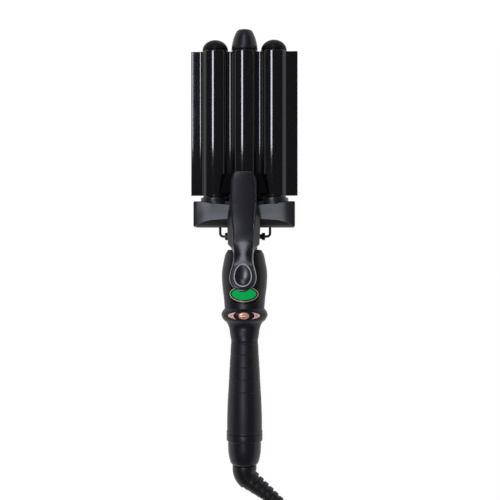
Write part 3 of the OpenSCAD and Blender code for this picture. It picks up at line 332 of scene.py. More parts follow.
def wave_tree():
    """The wave plate's face: round ridges over the barrels, round valleys between them."""
    tree, given, out = new_group("Geometry", "wave plate", {
        "Piece": "Geometry", "Width": 0.09, "Length": 0.12, "Ridge radius": 0.0125,
        "Valley radius": 0.004, "Half pitch": 0.0129, "Valley height": 0.01,
        "Ridge reach": 0.0099, "Columns": 301, "Roll": 0.004, "Lip": 0.0015,
        "Centre": (0, 0, 0), "Finish": "Material"}, {"Piece": "Geometry"})
    grid = add(tree, "GeometryNodeMeshGrid", {
        "Size X": given["Width"], "Size Y": given["Length"], "Vertices X": given["Columns"],
        "Vertices Y": 25})
    place = add(tree, "ShaderNodeSeparateXYZ",
                {0: add(tree, "GeometryNodeInputPosition").outputs[0]}).outputs
    across = maths(tree, "ABSOLUTE", place["X"])
    from_ridge = maths(tree, "PINGPONG", across, given["Half pitch"])

    def rise(radius, offset):
        inside = minus(tree, times(tree, radius, radius), times(tree, offset, offset))
        return maths(tree, "SQRT", maths(tree, "MAXIMUM", inside, 0.0))

    ridge = rise(given["Ridge radius"], from_ridge)
    valley = minus(tree, given["Valley height"], rise(
        given["Valley radius"], minus(tree, given["Half pitch"], from_ridge)))
    wing = minus(tree, given["Valley height"], given["Valley radius"])
    on_ridge = maths(tree, "LESS_THAN", from_ridge, given["Ridge reach"])
    on_wing = maths(tree, "GREATER_THAN", across, times(tree, given["Half pitch"], 3.0))
    height = blend(tree, on_wing, blend(tree, on_ridge, valley, ridge, "FLOAT"), wing, "FLOAT")
    from_edge = minus(tree, times(tree, given["Width"], 0.5), across)
    for reach, gain in ((given["Roll"], 3.3), (given["Lip"], 280.0)):
        inside = maths(tree, "MAXIMUM", minus(tree, reach, from_edge), 0.0)
        height = minus(tree, height, times(tree, times(tree, inside, inside), gain))
    half = times(tree, given["Length"], 0.5)
    quarter_turn = times(tree, maths(tree, "DIVIDE", place["Y"], half), math.pi / 2)
    along = times(tree, maths(tree, "SINE", quarter_turn), half)
    raised = add(tree, "ShaderNodeCombineXYZ", {"X": place["X"], "Y": along, "Z": height})
    moved = add(tree, "ShaderNodeVectorMath", {0: raised.outputs[0], 1: given["Centre"]},
                operation="ADD")
    shaped = add(tree, "GeometryNodeSetPosition", {"Geometry": grid.outputs[0],
                                                   "Position": moved.outputs[0]})
    return end_tree(tree, shaped.outputs[0], given, out)


def end_tree(tree, shape, given, out):
    """Closes a geometry tree with real meshes that carry their finish."""
    real = add(tree, "GeometryNodeRealizeInstances", {0: shape})
    finished = add(tree, "GeometryNodeSetMaterial", {"Geometry": real.outputs[0],
                                                     "Material": given["Finish"]})
    tree.links.new(finished.outputs[0], out[0])
    return tree


EDGE_WEAR, MOULDED_SKIN, HANDLING = edge_wear_group(), moulded_skin_group(), handling_group()
TONE, SPARKLE, ROW, WAVE = tone_group(), sparkle_group(), row_tree(), wave_tree()


# Finishes

def lin(*rgb):
    """A colour given as 0-255 screen values, in linear light."""
    return tuple((c / 255 / 12.92) if c <= 10 else ((c / 255 + 0.055) / 1.055) ** 2.4
                 for c in rgb) + (1.0,)


def put(tree, group, **values):
    """A shader group in a material, with its own values."""
    node = add(tree, "ShaderNodeGroup", node_tree=group)
    for name, value in values.items():
        socket = node.inputs[name.replace("_", " ")]
        if isinstance(value, bpy.types.NodeSocket):
            tree.links.new(value, socket)
        else:
            socket.default_value = value
    return node.outputs


def finish(name, rgb, roughness, metallic=0.0, specular=0.5, drift=0.05, variation=0.06,
           worn=None, wear=0.0, edge=0.0004, grain=2500.0, depth=0.00001, waviness=0.2):
    """A finish with drifting roughness and tone, a moulded or cast skin and worn edges."""
    material = bpy.data.materials.new(name)
    material.use_nodes = True
    tree = material.node_tree
    shader = tree.nodes["Principled BSDF"].inputs
    colour = lin(*rgb)
    worn = lin(*worn) if worn else tuple(min(1, c * 1.6 + 0.01) for c in colour[:3]) + (1.0,)
    worn_mask = put(tree, EDGE_WEAR, Width=edge, Amount=wear)["Edge"] if wear else 0.0
    tone = put(tree, TONE, Colour=colour, Worn_colour=worn, Worn=worn_mask, Variation=variation)
    rough = put(tree, HANDLING, Roughness=roughness, Drift=drift)
    skin = put(tree, MOULDED_SKIN, Grain_scale=grain, Waviness=waviness)
    bump = add(tree, "ShaderNodeBump", {"Height": skin["Height"], "Strength": 1.0,
                                        "Distance": depth})
    tree.links.new(tone["Colour"], shader["Base Color"])
    tree.links.new(rough["Roughness"], shader["Roughness"])
    tree.links.new(bump.outputs["Normal"], shader["Normal"])
    shader["Metallic"].default_value = metallic
    shader["Specular IOR Level"].default_value = specular
    return material


def paint_over(material, mask, colour):
    """Lays another colour over the finish's own where the mask is high."""
    tree = material.node_tree
    base = tree.nodes["Principled BSDF"].inputs["Base Color"]
    tree.links.new(blend(tree, mask, base.links[0].from_socket, colour), base)
    return material


def ceramic_coating(name, rgb, roughness, share, glint):
    """Black ceramic coating: glossy, with fine flecks that glint."""
    material = finish(name, rgb, roughness, drift=0.03, depth=0.0000015, grain=1400.0,
                      waviness=0.15, wear=0.5, edge=0.0003)
    tree = material.node_tree
    shader = tree.nodes["Principled BSDF"].inputs
    flecks = put(tree, SPARKLE, Fleck_scale=3600.0, Share=share)
    tree.links.new(times(tree, flecks["Fleck"], 0.5), shader["Metallic"])
    facets = add(tree, "ShaderNodeBump", {
        "Height": flecks["Height"], "Strength": 0.5, "Distance": glint,
        "Normal": shader["Normal"].links[0].from_socket})
    tree.links.new(facets.outputs["Normal"], shader["Normal"])
    return paint_over(material, flecks["Fleck"], lin(92, 93, 96))


def lit_screen():
    """The lit panel of the display, with the faint grid of its cells."""
    material = finish("lit_green_panel", (2, 10, 6), 0.4, specular=0.02, drift=0.02, depth=0.0)
    tree = material.node_tree
    shader = tree.nodes["Principled BSDF"].inputs
    place = own_place(tree)
    rows, columns = (add(tree, "ShaderNodeTexWave", {"Vector": place, "Scale": 1400.0},
                         bands_direction=axis).outputs["Fac"] for axis in "YX")
    level = ranged(tree, times(tree, rows, columns), 0.0, 1.0, 0.9, 1.05)
    glow = put(tree, TONE, Colour=lin(11, 163, 80), Variation=0.02)
    tree.links.new(scaled(tree, glow["Colour"], level), shader["Emission Color"])
    shader["Emission Strength"].default_value = 0.97
    return material


def circuit_board():
    """Green board with copper tracks under its mask."""
    material = finish("circuit_board", (24, 92, 52), 0.42, drift=0.06, depth=0.00002)
    tree = material.node_tree
    bricks = add(tree, "ShaderNodeTexBrick", {"Vector": own_place(tree), "Scale": 320.0,
                                              "Mortar Size": 0.06})
    return paint_over(material, bricks.outputs["Fac"], lin(70, 140, 84))


def grey_cover():
    """Satin grey, with painted shade that turns it black towards the block's two ends."""
    material = finish("satin_grey_cover", (78, 82, 84), 0.36, specular=0.4,
                      grain=2200.0, wear=0.4, worn=(110, 112, 114))
    tree = material.node_tree
    across = add(tree, "ShaderNodeSeparateXYZ", {0: own_place(tree)}).outputs["X"]
    # Painted shade: past 33 mm from the middle the colour is mixed to near black, for the shade
    # on the face's rolled ends.
    ends = ranged(tree, maths(tree, "ABSOLUTE", across), 0.033, 0.037)
    return paint_over(material, ends, lin(26, 26, 28))


FINISHES = {
    "shell_plastic": finish("satin_black_shell", (19, 17, 23), 0.34, specular=0.34, drift=0.04,
                            grain=2600.0, wear=0.4, worn=(60, 60, 63)),
    "grip_plastic": finish("soft_touch_grip", (15, 14, 19), 0.43, specular=0.34, grain=3200.0,
                           depth=0.000012, wear=0.2, worn=(50, 50, 54)),
    "gloss_plastic": finish("gloss_black_plastic", (8, 7, 8), 0.2, specular=0.3, drift=0.04,
                            grain=900.0, depth=0.000002, wear=0.2),
    "cover_plastic": grey_cover(),
    "coated_metal": ceramic_coating("coated_barrel", (9, 9, 10), 0.14, 0.02, 0.000003),
    "clamp_coating": ceramic_coating("coated_wave_plate", (10, 10, 11), 0.07, 0.03, 0.000002),
    "wire_coating": finish("black_coated_wire", (10, 10, 11), 0.3, specular=0.4, wear=0.3),
    "gold_rim": finish("pale_gold_rim", (222, 206, 172), 0.3, metallic=0.4, depth=0.000002,
                       variation=0.03),
    "rose_gold": finish("rose_gold_key", (236, 196, 186), 0.28, metallic=0.25, depth=0.000002,
                        variation=0.05),
    "screen": lit_screen(),
    "steel": finish("brushed_steel", (190, 190, 192), 0.32, metallic=1.0, drift=0.1,
                    grain=1500.0, depth=0.000006, wear=0.4, worn=(225, 225, 228)),
    "aluminium": finish("mill_aluminium", (200, 200, 203), 0.42, metallic=1.0, drift=0.1,
                        grain=1200.0),
    "copper_alloy": finish("plain_brass", (206, 170, 98), 0.3, metallic=1.0, drift=0.1,
                           grain=1500.0, depth=0.000006, wear=0.4, worn=(236, 214, 150)),
    "board": circuit_board(),
    "white_ceramic": finish("fired_ceramic", (226, 222, 210), 0.45, drift=0.08, grain=1800.0),
    "cord_rubber": finish("cord_rubber", (13, 13, 14), 0.45, specular=0.4, drift=0.08,
                          grain=1600.0, wear=0.2),
}
LEVER_BLACK = finish("satin_black_lever", (13, 13, 19), 0.19, drift=0.02, grain=2600.0,
                     wear=0.25, edge=0.0003, worn=(60, 60, 65))
PAD_BLACK = finish("satin_black_pad", (13, 15, 17), 0.28, specular=0.55, drift=0.04,
                   grain=2400.0, depth=0.000006)
SADDLE_BLACK = finish("dull_black_saddle", (4, 4, 5), 0.7, specular=0.05, drift=0.06,
                      grain=1800.0)
DOME_BLACK = finish("dull_black_dome", (7, 6, 6), 0.5, specular=0.15, grain=1800.0,
                    depth=0.000004)
BOOT_BLACK = finish("satin_black_boot", (12, 11, 12), 0.4, specular=0.35, grain=2200.0,
                    depth=0.000008, wear=0.3)
BED_BLACK = finish("olive_black_inlay", (30, 27, 20), 0.25, specular=0.4, drift=0.04,
                   depth=0.000002)
# The pad bead is raised geometry; its pale silver colour is a painted highlight along the pad's
# rim.
PALE_BEAD_PAINTED_HIGHLIGHT = finish("silver_bead", (158, 155, 162), 0.36, metallic=0.35, drift=0.06,
                     depth=0.000002)
MARK_INK = finish("key_mark", (96, 64, 56), 0.5, drift=0.04)
MARK_PALE = finish("key_mark_pale", (186, 138, 128), 0.4, metallic=0.2, drift=0.04)
POWER_ROSE = finish("rose_gold_power_key", (214, 158, 132), 0.26, metallic=0.35, depth=0.000002,
                    variation=0.05)
BLOCK_BLACK = finish("dull_black_block", (17, 16, 18), 0.5, specular=0.22, grain=2200.0,
                     wear=0.3)
COLLAR_BLACK = finish("satin_black_collar", (18, 18, 20), 0.3, grain=2200.0, depth=0.000006,
                      wear=0.3)


# Making of solids

def solid(name, points, faces, sharp=32):
    """A closed mesh piece from points and faces, its faces turned outwards."""
    mesh = bpy.data.meshes.new(name)
    mesh.from_pydata([tuple(p) for p in points], [], faces)
    bm = bmesh.new()
    bm.from_mesh(mesh)
    bmesh.ops.remove_doubles(bm, verts=bm.verts, dist=1e-7)
    bmesh.ops.recalc_face_normals(bm, faces=bm.faces)
    bm.to_mesh(mesh)
    bm.free()
    return shade(into_scene(name, mesh), sharp)


def shade(piece, sharp=32):
    piece.data.shade_smooth()
    piece.data.set_sharp_from_angle(angle=math.radians(sharp))
    return piece


def settle(piece, sharp=32):
    """Turns the piece's modifiers into plain mesh."""
    graph = bpy.context.evaluated_depsgraph_get()
    mesh = bpy.data.meshes.new_from_object(piece.evaluated_get(graph), depsgraph=graph)
    piece.modifiers.clear()
    piece.data = mesh
    return shade(piece, sharp)


def grow(piece, tree, **values):
    """Runs a geometry tree on a piece, each input set by its identifier."""
    run = piece.modifiers.new(tree.name, "NODES")
    run.node_group = tree
    for item in tree.interface.items_tree:
        key = item.name.replace(" ", "_")
        if item.in_out == "INPUT" and key in values:
            run[item.identifier] = values[key]


def in_row(piece, count, half, look, s=MID_S, z=0):
    """Copies of the piece side by side, from one side's half width to the other's."""
    grow(piece, ROW, Count=count, Start=tuple(spot(-half, s, z)),
         Step=(2 * half / (count - 1) * MM, 0, 0), Last_width=1.0, Finish=look)
    return settle(piece)


def coat(piece, look):
    piece.data.materials.clear()
    piece.data.materials.append(look)


def dress(piece, body, slot, *stands_for, look=None):
    """Gives a piece its finish, its slot's unless another look is given, its body, and hides the
    nodes that it stands for.
    """
    coat(piece, look or FINISHES[slot])
    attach(piece, body)
    if stands_for:
        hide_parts(*stands_for)
    return piece


def eased(points, steps):
    """The line through the points as one smooth curve."""
    out = []
    for i in range(len(points) - 1):
        near = [points[max(i - 1, 0)], points[i], points[i + 1],
                points[min(i + 2, len(points) - 1)]]
        for j in range(steps):
            t = j / steps
            out.append(tuple(0.5 * (2 * b + (c - a) * t + (2 * a - 5 * b + 4 * c - d) * t * t
                                    + (3 * b - a - 3 * c + d) * t ** 3)
                             for a, b, c, d in zip(*near)))
    out.append(tuple(points[-1]))
    return out


def along_table(table, at, place=0, value=1):
    """The value at a place in a table of points, by straight steps; its ends hold beyond it."""
    for low, high in zip(table, table[1:]):
        if low[place] <= at <= high[place]:
            share = (at - low[place]) / max(high[place] - low[place], 1e-9)
            return low[value] + (high[value] - low[value]) * share
    return table[0 if at < table[0][place] else -1][value]


def softened(points, radius, closed=False, steps=4, least_turn=14):
    """The line with its corners rounded off."""
    out = []
    for i, p in enumerate(points):
        b = Vector(p)
        a, c = Vector(points[i - 1]) - b, Vector(points[(i + 1) % len(points)]) - b
        ends = not closed and i in (0, len(points) - 1)
        if ends or a.length < 1e-9 or c.length < 1e-9 \
                or math.degrees(a.angle(c)) > 180 - least_turn:
            out.append(tuple(p))
            continue
        reach = min(radius, 0.45 * a.length, 0.45 * c.length)
        first, last = b + a.normalized() * reach, b + c.normalized() * reach
        for j in range(steps + 1):
            t = j / steps
            out.append(tuple((1 - t) ** 2 * first + 2 * t * (1 - t) * b + t * t * last))
    return out


def turned(name, profile, z=AXIS_Z, steps=96, closed=False):
    """A solid turned round a line along the tool, from (radius, station) points."""
    return lofted(name, [[
        spot(r * math.sin(2 * math.pi * k / steps), s, z + r * math.cos(2 * math.pi * k / steps))
        for k in range(steps)] for r, s in profile], closed=closed, ends=False)


# Stands a solid turned round z = 0 upright, its foot on the origin
UPRIGHT = Matrix.Rotation(math.radians(90), 4, "X") @ Matrix.Translation((0, MID_S * MM, 0))


def lofted(name, rings, sharp=32, closed=False, ends=True):
    """A solid through rings of points: closed on itself, or its ends closed to their middles."""
    if closed:
        rings = rings + rings[:1]
    n = len(rings[0])
    points = [Vector(p) for ring in rings for p in ring]
    faces = [(i * n + j, i * n + (j + 1) % n, (i + 1) * n + (j + 1) % n, (i + 1) * n + j)
             for i in range(len(rings) - 1) for j in range(n)]
    if ends and not closed:
        for base in (0, (len(rings) - 1) * n):
            middle = sum(points[base:base + n], Vector()) / n
            points.append(middle)
            faces += [(base + j, base + (j + 1) % n, len(points) - 1) for j in range(n)]
    return solid(name, points, faces, sharp)


def swept(name, path, section, place, closed=True, sharp=50):
    """A section of steps outward and up, carried along a path on a shaped face."""
    rings = []
    n = len(path)
    for i, (x, y) in enumerate(path):
        ax, ay = path[i - 1 if closed else max(i - 1, 0)]
        bx, by = path[(i + 1) % n if closed else min(i + 1, n - 1)]
        t = Vector((bx - ax, by - ay)).normalized()
        rings.append([place(x + o * t.y, y - o * t.x, h) for o, h in section])
    return lofted(name, rings, sharp, closed)


def along_path(name, path, radius, sides=14):
    """Round stock along a path; the radius may be one number or one for each point."""
    rings = []
    side = Vector((0, 0, 1))
    for i, p in enumerate(path):
        t = (path[min(i + 1, len(path) - 1)] - path[max(i - 1, 0)]).normalized()
        across = t.cross(side).normalized()
        up = across.cross(t)
        r = (radius[i] if isinstance(radius, list) else radius) * MM
        rings.append([p + r * (math.cos(2 * math.pi * k / sides) * across
                               + math.sin(2 * math.pi * k / sides) * up)
                      for k in range(sides)])
    return lofted(name, rings, sharp=50)


def prism(name, low, high):
    """A straight solid between two outlines."""
    n = len(low)
    faces = [tuple(range(n)), tuple(range(n, 2 * n))]
    faces += [(j, (j + 1) % n, n + (j + 1) % n, n + j) for j in range(n)]
    return solid(name, low + high, faces)


def upright_prism(name, outline, low, high):
    return prism(name, *([spot(x, s, z) for x, s in outline] for z in (low, high)))


def cut(piece, cutters):
    for i, cutter in enumerate(cutters):
        hole = piece.modifiers.new(f"hole{i}", "BOOLEAN")
        hole.operation = "DIFFERENCE"
        hole.solver = "EXACT"
        hole.object = cutter
    settle(piece, 30)
    for cutter in cutters:
        bpy.data.objects.remove(cutter)
    return piece


def join(name, pieces):
    """Several meshes as one piece."""
    bm = bmesh.new()
    for piece in pieces:
        bm.from_mesh(piece.data)
        bpy.data.objects.remove(piece)
    mesh = bpy.data.meshes.new(name)
    bm.to_mesh(mesh)
    bm.free()
    return shade(into_scene(name, mesh), 40)


def softened_edges(piece, edge, segments=3, angle=35, sharp=40):
    bevel = piece.modifiers.new("edges", "BEVEL")
    bevel.width = edge * MM
    bevel.segments = segments
    bevel.limit_method = "ANGLE"
    bevel.angle_limit = math.radians(angle)
    bevel.use_clamp_overlap = True
    return settle(piece, sharp)


def from_part(name, node, edge, segments=3):
    """A copy of one of the part's own solids, with softened edges."""
    bm = bmesh.new()
    bm.from_mesh(nodes[node].data)
    bmesh.ops.remove_doubles(bm, verts=bm.verts, dist=2e-6)
    bmesh.ops.dissolve_limit(bm, angle_limit=math.radians(0.6), verts=bm.verts, edges=bm.edges)
    bmesh.ops.recalc_face_normals(bm, faces=bm.faces)
    bm.verts.index_update()
    points = [v.co.copy() for v in bm.verts]
    faces = [tuple(v.index for v in f.verts) for f in bm.faces]
    bm.free()
    piece = solid(name, points, faces)
    return softened_edges(piece, edge, segments) if edge else piece


# Handle: end cap, tail collar and grip, turned
CAP_SHAPE = [(0, 0), (0.04, 0.225), (0.12, 0.475), (0.31, 0.75), (0.58, 0.95), (1, 1)]
GRIP_SHAPE = eased([(0, 1), (0.15, 0.98), (0.33, 0.84), (0.53, 0.57), (0.7, 0.39),
                    (0.85, 0.18), (1, 0)], 8)
GRIP_LENGTH, WAIST_R, GRIP_SWELL = 77.8, 11.9, 3.5
GROOVES = [BULGE_S - 1.4, 97.3, 86.5, 75.6, 64.8]


def make_end_cap():
    side = eased([(10.6 + 4 * r, TAIL_S * s) for s, r in CAP_SHAPE], 5)
    line = [(0, 0)] + side + [(14.6, TAIL_S - 0.1), (14.2, TAIL_S), (0, TAIL_S)]
    return turned("end_cap_shell", softened(line, 0.35))


def make_tail_collar():
    line = [(0, TAIL_S), (15.35, TAIL_S), (15.85, TAIL_S + 0.6), (15.85, TAIL_S + 6.1),
            (15.35, TAIL_S + 6.35), (15.35, TAIL_S + 6.65), (15.85, TAIL_S + 6.9),
            (15.85, GRIP_S - 0.5), (15.3, GRIP_S), (0, GRIP_S)]
    return turned("tail_collar_ring", softened(line, 0.3))


def make_grip():
    """The waisted grip, with its fine grooves."""
    stations = [GRIP_S + GRIP_LENGTH * i / 120 for i in range(121)]
    for g in GROOVES:
        stations = [s for s in stations if abs(s - g) > 0.9]
        stations += [g + d for d in (-0.85, -0.55, -0.4, -0.25, 0, 0.25, 0.4, 0.55, 0.85)]
    line = []
    for s in sorted(stations):
        near = min(abs(s - g) for g in GROOVES)
        sunk = 0.32 * max(0, 1 - max(0, near - 0.2) / 0.35)
        swell = along_table(GRIP_SHAPE, (s - GRIP_S) / GRIP_LENGTH)
        line.append((WAIST_R + GRIP_SWELL * swell - sunk, s))
    return turned("grip_skin", [(0, GRIP_S)] + line + [(0, GRIP_S + GRIP_LENGTH)])


dress(make_end_cap(), "body", "shell_plastic", "end_cap")
dress(make_tail_collar(), "body", "shell_plastic", "tail_collar")
dress(make_grip(), "body", "grip_plastic", "grip_sleeve")

# Head: two half shells with openings for the display and the keys
BULGE_SHAPE = [(0, 0.571), (0.19, 0.62), (0.4, 0.665), (0.56, 0.76), (0.655, 0.905),
               (0.73, 0.967), (0.805, 1), (0.9, 0.965), (1, 0.858)]
HEAD_SHAPE = [(0, 0.875), (0.2, 0.92), (0.35, 0.97), (0.53, 1), (0.65, 0.988), (0.8, 0.92),
              (0.915, 0.855), (0.957, 0.805), (1, 0.735)]
BULGE_R, BULGE_LENGTH, HEAD_R, HEAD_LENGTH = 20.4, 29.3, 20, 51.5
HEAD_LINE = ([(BULGE_R * r, BULGE_S + BULGE_LENGTH * s) for s, r in eased(BULGE_SHAPE, 6)]
             + [(HEAD_R * r, CREASE_S + HEAD_LENGTH * s) for s, r in eased(HEAD_SHAPE, 6)])
HEAD_FLATTEN, FLATTEN_LENGTH = 0.8, 14
SEAM_S, PARTING_HALF = 186.5, 0.06


def head_radius(s):
    return along_table(HEAD_LINE, s, place=1, value=0)


def flatness(s):
    """Depth of the head over its width: round where it meets the grip."""
    part = min(max((s - BULGE_S) / FLATTEN_LENGTH, 0), 1)
    return 1 - (1 - HEAD_FLATTEN) * part * part * (3 - 2 * part)


def on_head(x, s, out=0.0):
    """A place on the head's front surface, or so far outside it."""
    r = head_radius(s)
    return spot(x, s, AXIS_Z + flatness(s) * math.sqrt(max(r * r - x * x, 0)) + out)


def half_head(name, side):
    """One half of the head, split along the middle height with a fine parting line."""
    steps = 64
    seam = [(head_radius(SEAM_S + ds) - sunk, SEAM_S + ds)
            for ds, sunk in ((-0.3, 0), (-0.15, 0.35), (0.15, 0.35), (0.3, 0))]
    line = [p for p in HEAD_LINE[1:-1] if abs(p[1] - SEAM_S) > 0.3] + seam
    line = ([(HEAD_LINE[0][0] - 0.1, BULGE_S)] + sorted(line, key=lambda p: p[1])
            + [(HEAD_LINE[-1][0] - 0.35, HEAD_TOP_S)])
    return lofted(name, [[
        spot(r * math.cos(math.pi * k / steps), s,
             AXIS_Z + side * (PARTING_HALF + flatness(s) * r * math.sin(math.pi * k / steps)))
        for k in range(steps + 1)] for r, s in line])


def ellipse(a, b, s, steps=72):
    return [(a * math.cos(2 * math.pi * k / steps), s + b * math.sin(2 * math.pi * k / steps))
            for k in range(steps)]


# Half width and half depth of the keys' oval and of the power key, and the room between
KEY_A, KEY_B, POWER_A, POWER_B, KEY_GAP, KEY_HOLLOW = 13.9, 3.4, 4.6, 3.0, 4.6, 0.9
KEY_FIT, KEY_RISE, KEY_FOOT = 0.2, 0.6, -2.2


def crescent(side, grow_by=0.0, steps=24):
    """Outline of the minus or plus key: the group's oval less the room round the power key."""
    outer_a, outer_b = KEY_A + grow_by, KEY_B + grow_by
    inner_a, inner_b = POWER_A + KEY_GAP - grow_by, KEY_B + KEY_HOLLOW - grow_by
    x2 = ((outer_b ** 2 - inner_b ** 2)
          / ((outer_b / outer_a) ** 2 - (inner_b / inner_a) ** 2))
    lines = []
    for a, b in ((outer_a, outer_b), (inner_a, inner_b)):
        tip = math.acos(math.sqrt(x2) / a)
        lines.append([(side * a * math.cos(tip * t), b * math.sin(tip * t))
                      for t in (2 * i / steps - 1 for i in range(steps + 1))])
    return lines


def make_front_shell():
    shell = half_head("head_front", 1)
    holes = [upright_prism("cutter", outline, 24, 50) for outline in (
        ellipse(12.55, 6.85, DISPLAY_S),
        ellipse(POWER_A + KEY_FIT, POWER_B + KEY_FIT, BUTTON_S, 56))]
    for side in (-1, 1):
        outer, inner = crescent(side, KEY_FIT)
        ring = [(x, BUTTON_S + y) for x, y in outer + inner[-2:0:-1]]
        holes.append(upright_prism("cutter", ring, 20, 50))
    return cut(shell, holes)


dress(make_front_shell(), "body", "shell_plastic", "handle_front_shell")
dress(half_head("head_rear", -1), "body", "shell_plastic", "handle_rear_shell")


# Display: pale gold bezel, black mask and lit panel, all following the head's crown

def band_on_head(name, path, half, low, high, edge, closed=True):
    """A band along a path on the head, its section a bar with softened upper edges."""
    side = [(half - edge, high), (half - edge * 0.4, high - edge * 0.3), (half, high - edge),
            (half, low)]
    return swept(name, path, [(-o, h) for o, h in reversed(side)] + side, on_head, closed)


def dome_on_head(name, outline, s, top, edge, low, rings=7):
    """A lid on the head within an outline round a station, with a softened rim."""
    rim = 0.91
    levels = [(1.0, low), (1.0, top - edge), (0.97, top - 0.35 * edge), (rim, top)]
    levels += [(max(rim * (1 - i / rings), 1e-4), top) for i in range(1, rings + 1)]
    return lofted(name, [[on_head(x * share, s + y * share, out) for x, y in outline]
                         for share, out in levels], sharp=50)


dress(band_on_head("bezel_ring", ellipse(12.15, 6.4, DISPLAY_S, 96), 0.33, -1.6, 0.5, 0.25),
      "body", "gold_rim", "display_bezel")
dress(band_on_head("bezel_seat", ellipse(13.4, 7.65, DISPLAY_S, 96), 0.95, -0.4, 0.16, 0.14),
      "body", "gloss_plastic")
dress(band_on_head("mask_ring", ellipse(11.3, 5.65, DISPLAY_S, 96), 0.6, -1.8, 0.02, 0.2),
      "body", "gloss_plastic", "display_mask")
dress(dome_on_head("lit_panel", ellipse(10.8, 5.15, 0, 96), DISPLAY_S, -0.3, 0.1, -1.8),
      "body", "screen", "lcd_screen")


# Keys: an oval power key between two crescents, each with its generic mark

def make_crescent_key(name, side):
    """A crescent lid whose height falls off near its outline."""
    rings = []
    for (ox, oy), (ix, iy) in zip(*crescent(side, 0.0, 40)):
        width = math.hypot(ox - ix, oy - iy)
        upper, under = [], []
        for t in (0, 0.02, 0.06, 0.13, 0.25, 0.4, 0.6, 0.75, 0.87, 0.94, 0.98, 1):
            x, y = ix + (ox - ix) * t, BUTTON_S + iy + (oy - iy) * t
            room = min(min(t, 1 - t) * width / 0.55, 1)
            out = KEY_RISE * (0.35 + 0.65 * math.sqrt(1 - (1 - room) ** 2))
            upper.append(on_head(x, y, out))
            under.append(on_head(x, y, KEY_FOOT))
        rings.append(upper + under[::-1])
    return lofted(name, rings, sharp=50, ends=False)


def printed(path, half):
    """A flat line printed on a key."""
    return band_on_head("mark", path, half, KEY_RISE - 0.2, KEY_RISE + 0.05, 0.02, closed=False)


def bar_mark(x, s, across, along):
    """A straight bar printed on a key, drawn along its longer side."""
    steps = [i / 8 for i in range(9)]
    if across > along:
        return printed([(x - across / 2 + across * t, s) for t in steps], along / 2)
    return printed([(x, s - along / 2 + along * t) for t in steps], across / 2)


def make_keys():
    power = dome_on_head("key_power", ellipse(POWER_A, POWER_B, 0, 64), BUTTON_S, KEY_RISE, 0.4,
                         KEY_FOOT)
    dress(power, "power_button", "rose_gold", "button_power", look=POWER_ROSE)
    for name, side in (("minus", -1), ("plus", 1)):
        dress(make_crescent_key("key_" + name, side), name + "_button", "rose_gold",
              "button_" + name)
    ring = [(1.15 * math.sin(math.radians(a)), BUTTON_S - 0.1 - 1.15 * math.cos(math.radians(a)))
            for a in range(-140, 141, 14)]
    marks = {"minus": [bar_mark(-10.6, BUTTON_S, 2.2, 0.42)],
             "plus": [bar_mark(10.6, BUTTON_S, 2.2, 0.42), bar_mark(10.6, BUTTON_S, 0.42, 2.2)],
             "power": [printed(ring, 0.19), bar_mark(0, BUTTON_S + 0.75, 0.38, 1.3)]}
    for name, lines in marks.items():
        dress(join("mark_" + name, lines), name + "_button", "rose_gold",
              look=MARK_INK if name == "power" else MARK_PALE)


def make_key_bed():
    """The dark inlay round the power key."""
    inset, room, low, top, steps = 0.45, 0.3, -0.6, 0.03, 96
    rings = []
    for k in range(steps):
        a = 2 * math.pi * k / steps
        reach = min(1 / math.hypot(math.cos(a) / (x - inset), math.sin(a) / (y - inset))
                    for x, y in ((KEY_A, KEY_B + 0.8), (POWER_A + KEY_GAP, KEY_B + KEY_HOLLOW)))
        hole = 1 / math.hypot(math.cos(a) / (POWER_A + room), math.sin(a) / (POWER_B + room))
        rings.append([on_head(math.cos(a) * r, BUTTON_S + math.sin(a) * r, h) for r, h in
                      ((hole, low), (hole, top), (reach, top), (reach, low))])
    return lofted("key_bed", rings, sharp=40, closed=True)


make_keys()
dress(make_key_bed(), "body", "gloss_plastic", look=BED_BLACK)


# Neck and block

def make_block_face():
    """The raised bow-tie face, crowned so that its ends roll away from the lever."""
    flat_half = 31
    face = from_part("block_face", "block_front_cover", edge=0)
    bm = bmesh.new()
    bm.from_mesh(face.data)
    for x in [side * (flat_half + around(13, a)[1]) for side in (-1, 1)
              for a in range(0, 85, 6)]:
        bmesh.ops.bisect_plane(bm, geom=bm.verts[:] + bm.edges[:] + bm.faces[:],
                               plane_co=(x * MM, 0, 0), plane_no=(1, 0, 0), dist=1e-7)
    for v in bm.verts:
        if v.co.z > 28.5 * MM:
            out = max(0, abs(v.co.x) / MM - flat_half) / (BLOCK_HALF - flat_half)
            v.co.z -= 3 * MM * (1 - math.sqrt(max(0, 1 - out * out * 0.9)))
    bm.to_mesh(face.data)
    bm.free()
    return softened_edges(face, 0.45, 3, 30, 24)


def make_screws(name, low, x, s, length=20.6, head_r=2.25):
    """A pair of cross-head screws that stand on their heads, with a rolled thread."""
    thread = []
    for i in range(22):
        z = 4.2 + 0.68 * i
        thread += [(1.05, z), (1.25, z + 0.2), (1.25, z + 0.32), (1.05, z + 0.52)]
    head = [(0, 0), (head_r - 0.55, 0), (head_r - 0.12, 0.22), (head_r, 0.6), (head_r, 1.5),
            (head_r - 0.2, 1.7), (1.1, 1.7), (1.05, 4.1)]
    screw = turned(name, head + thread + [(0.3, length - 0.2), (0, length)], z=0, steps=40)
    screw.data.transform(UPRIGHT)
    cut(screw, [upright_prism("cutter", [
        (a * wide, MID_S + b * deep) for a, b in ((-1, -1), (1, -1), (1, 1), (-1, 1))], -1, 1.0)
        for wide, deep in ((1.45, 0.32), (0.32, 1.45))])
    return in_row(screw, 2, x, FINISHES["steel"], s, low)


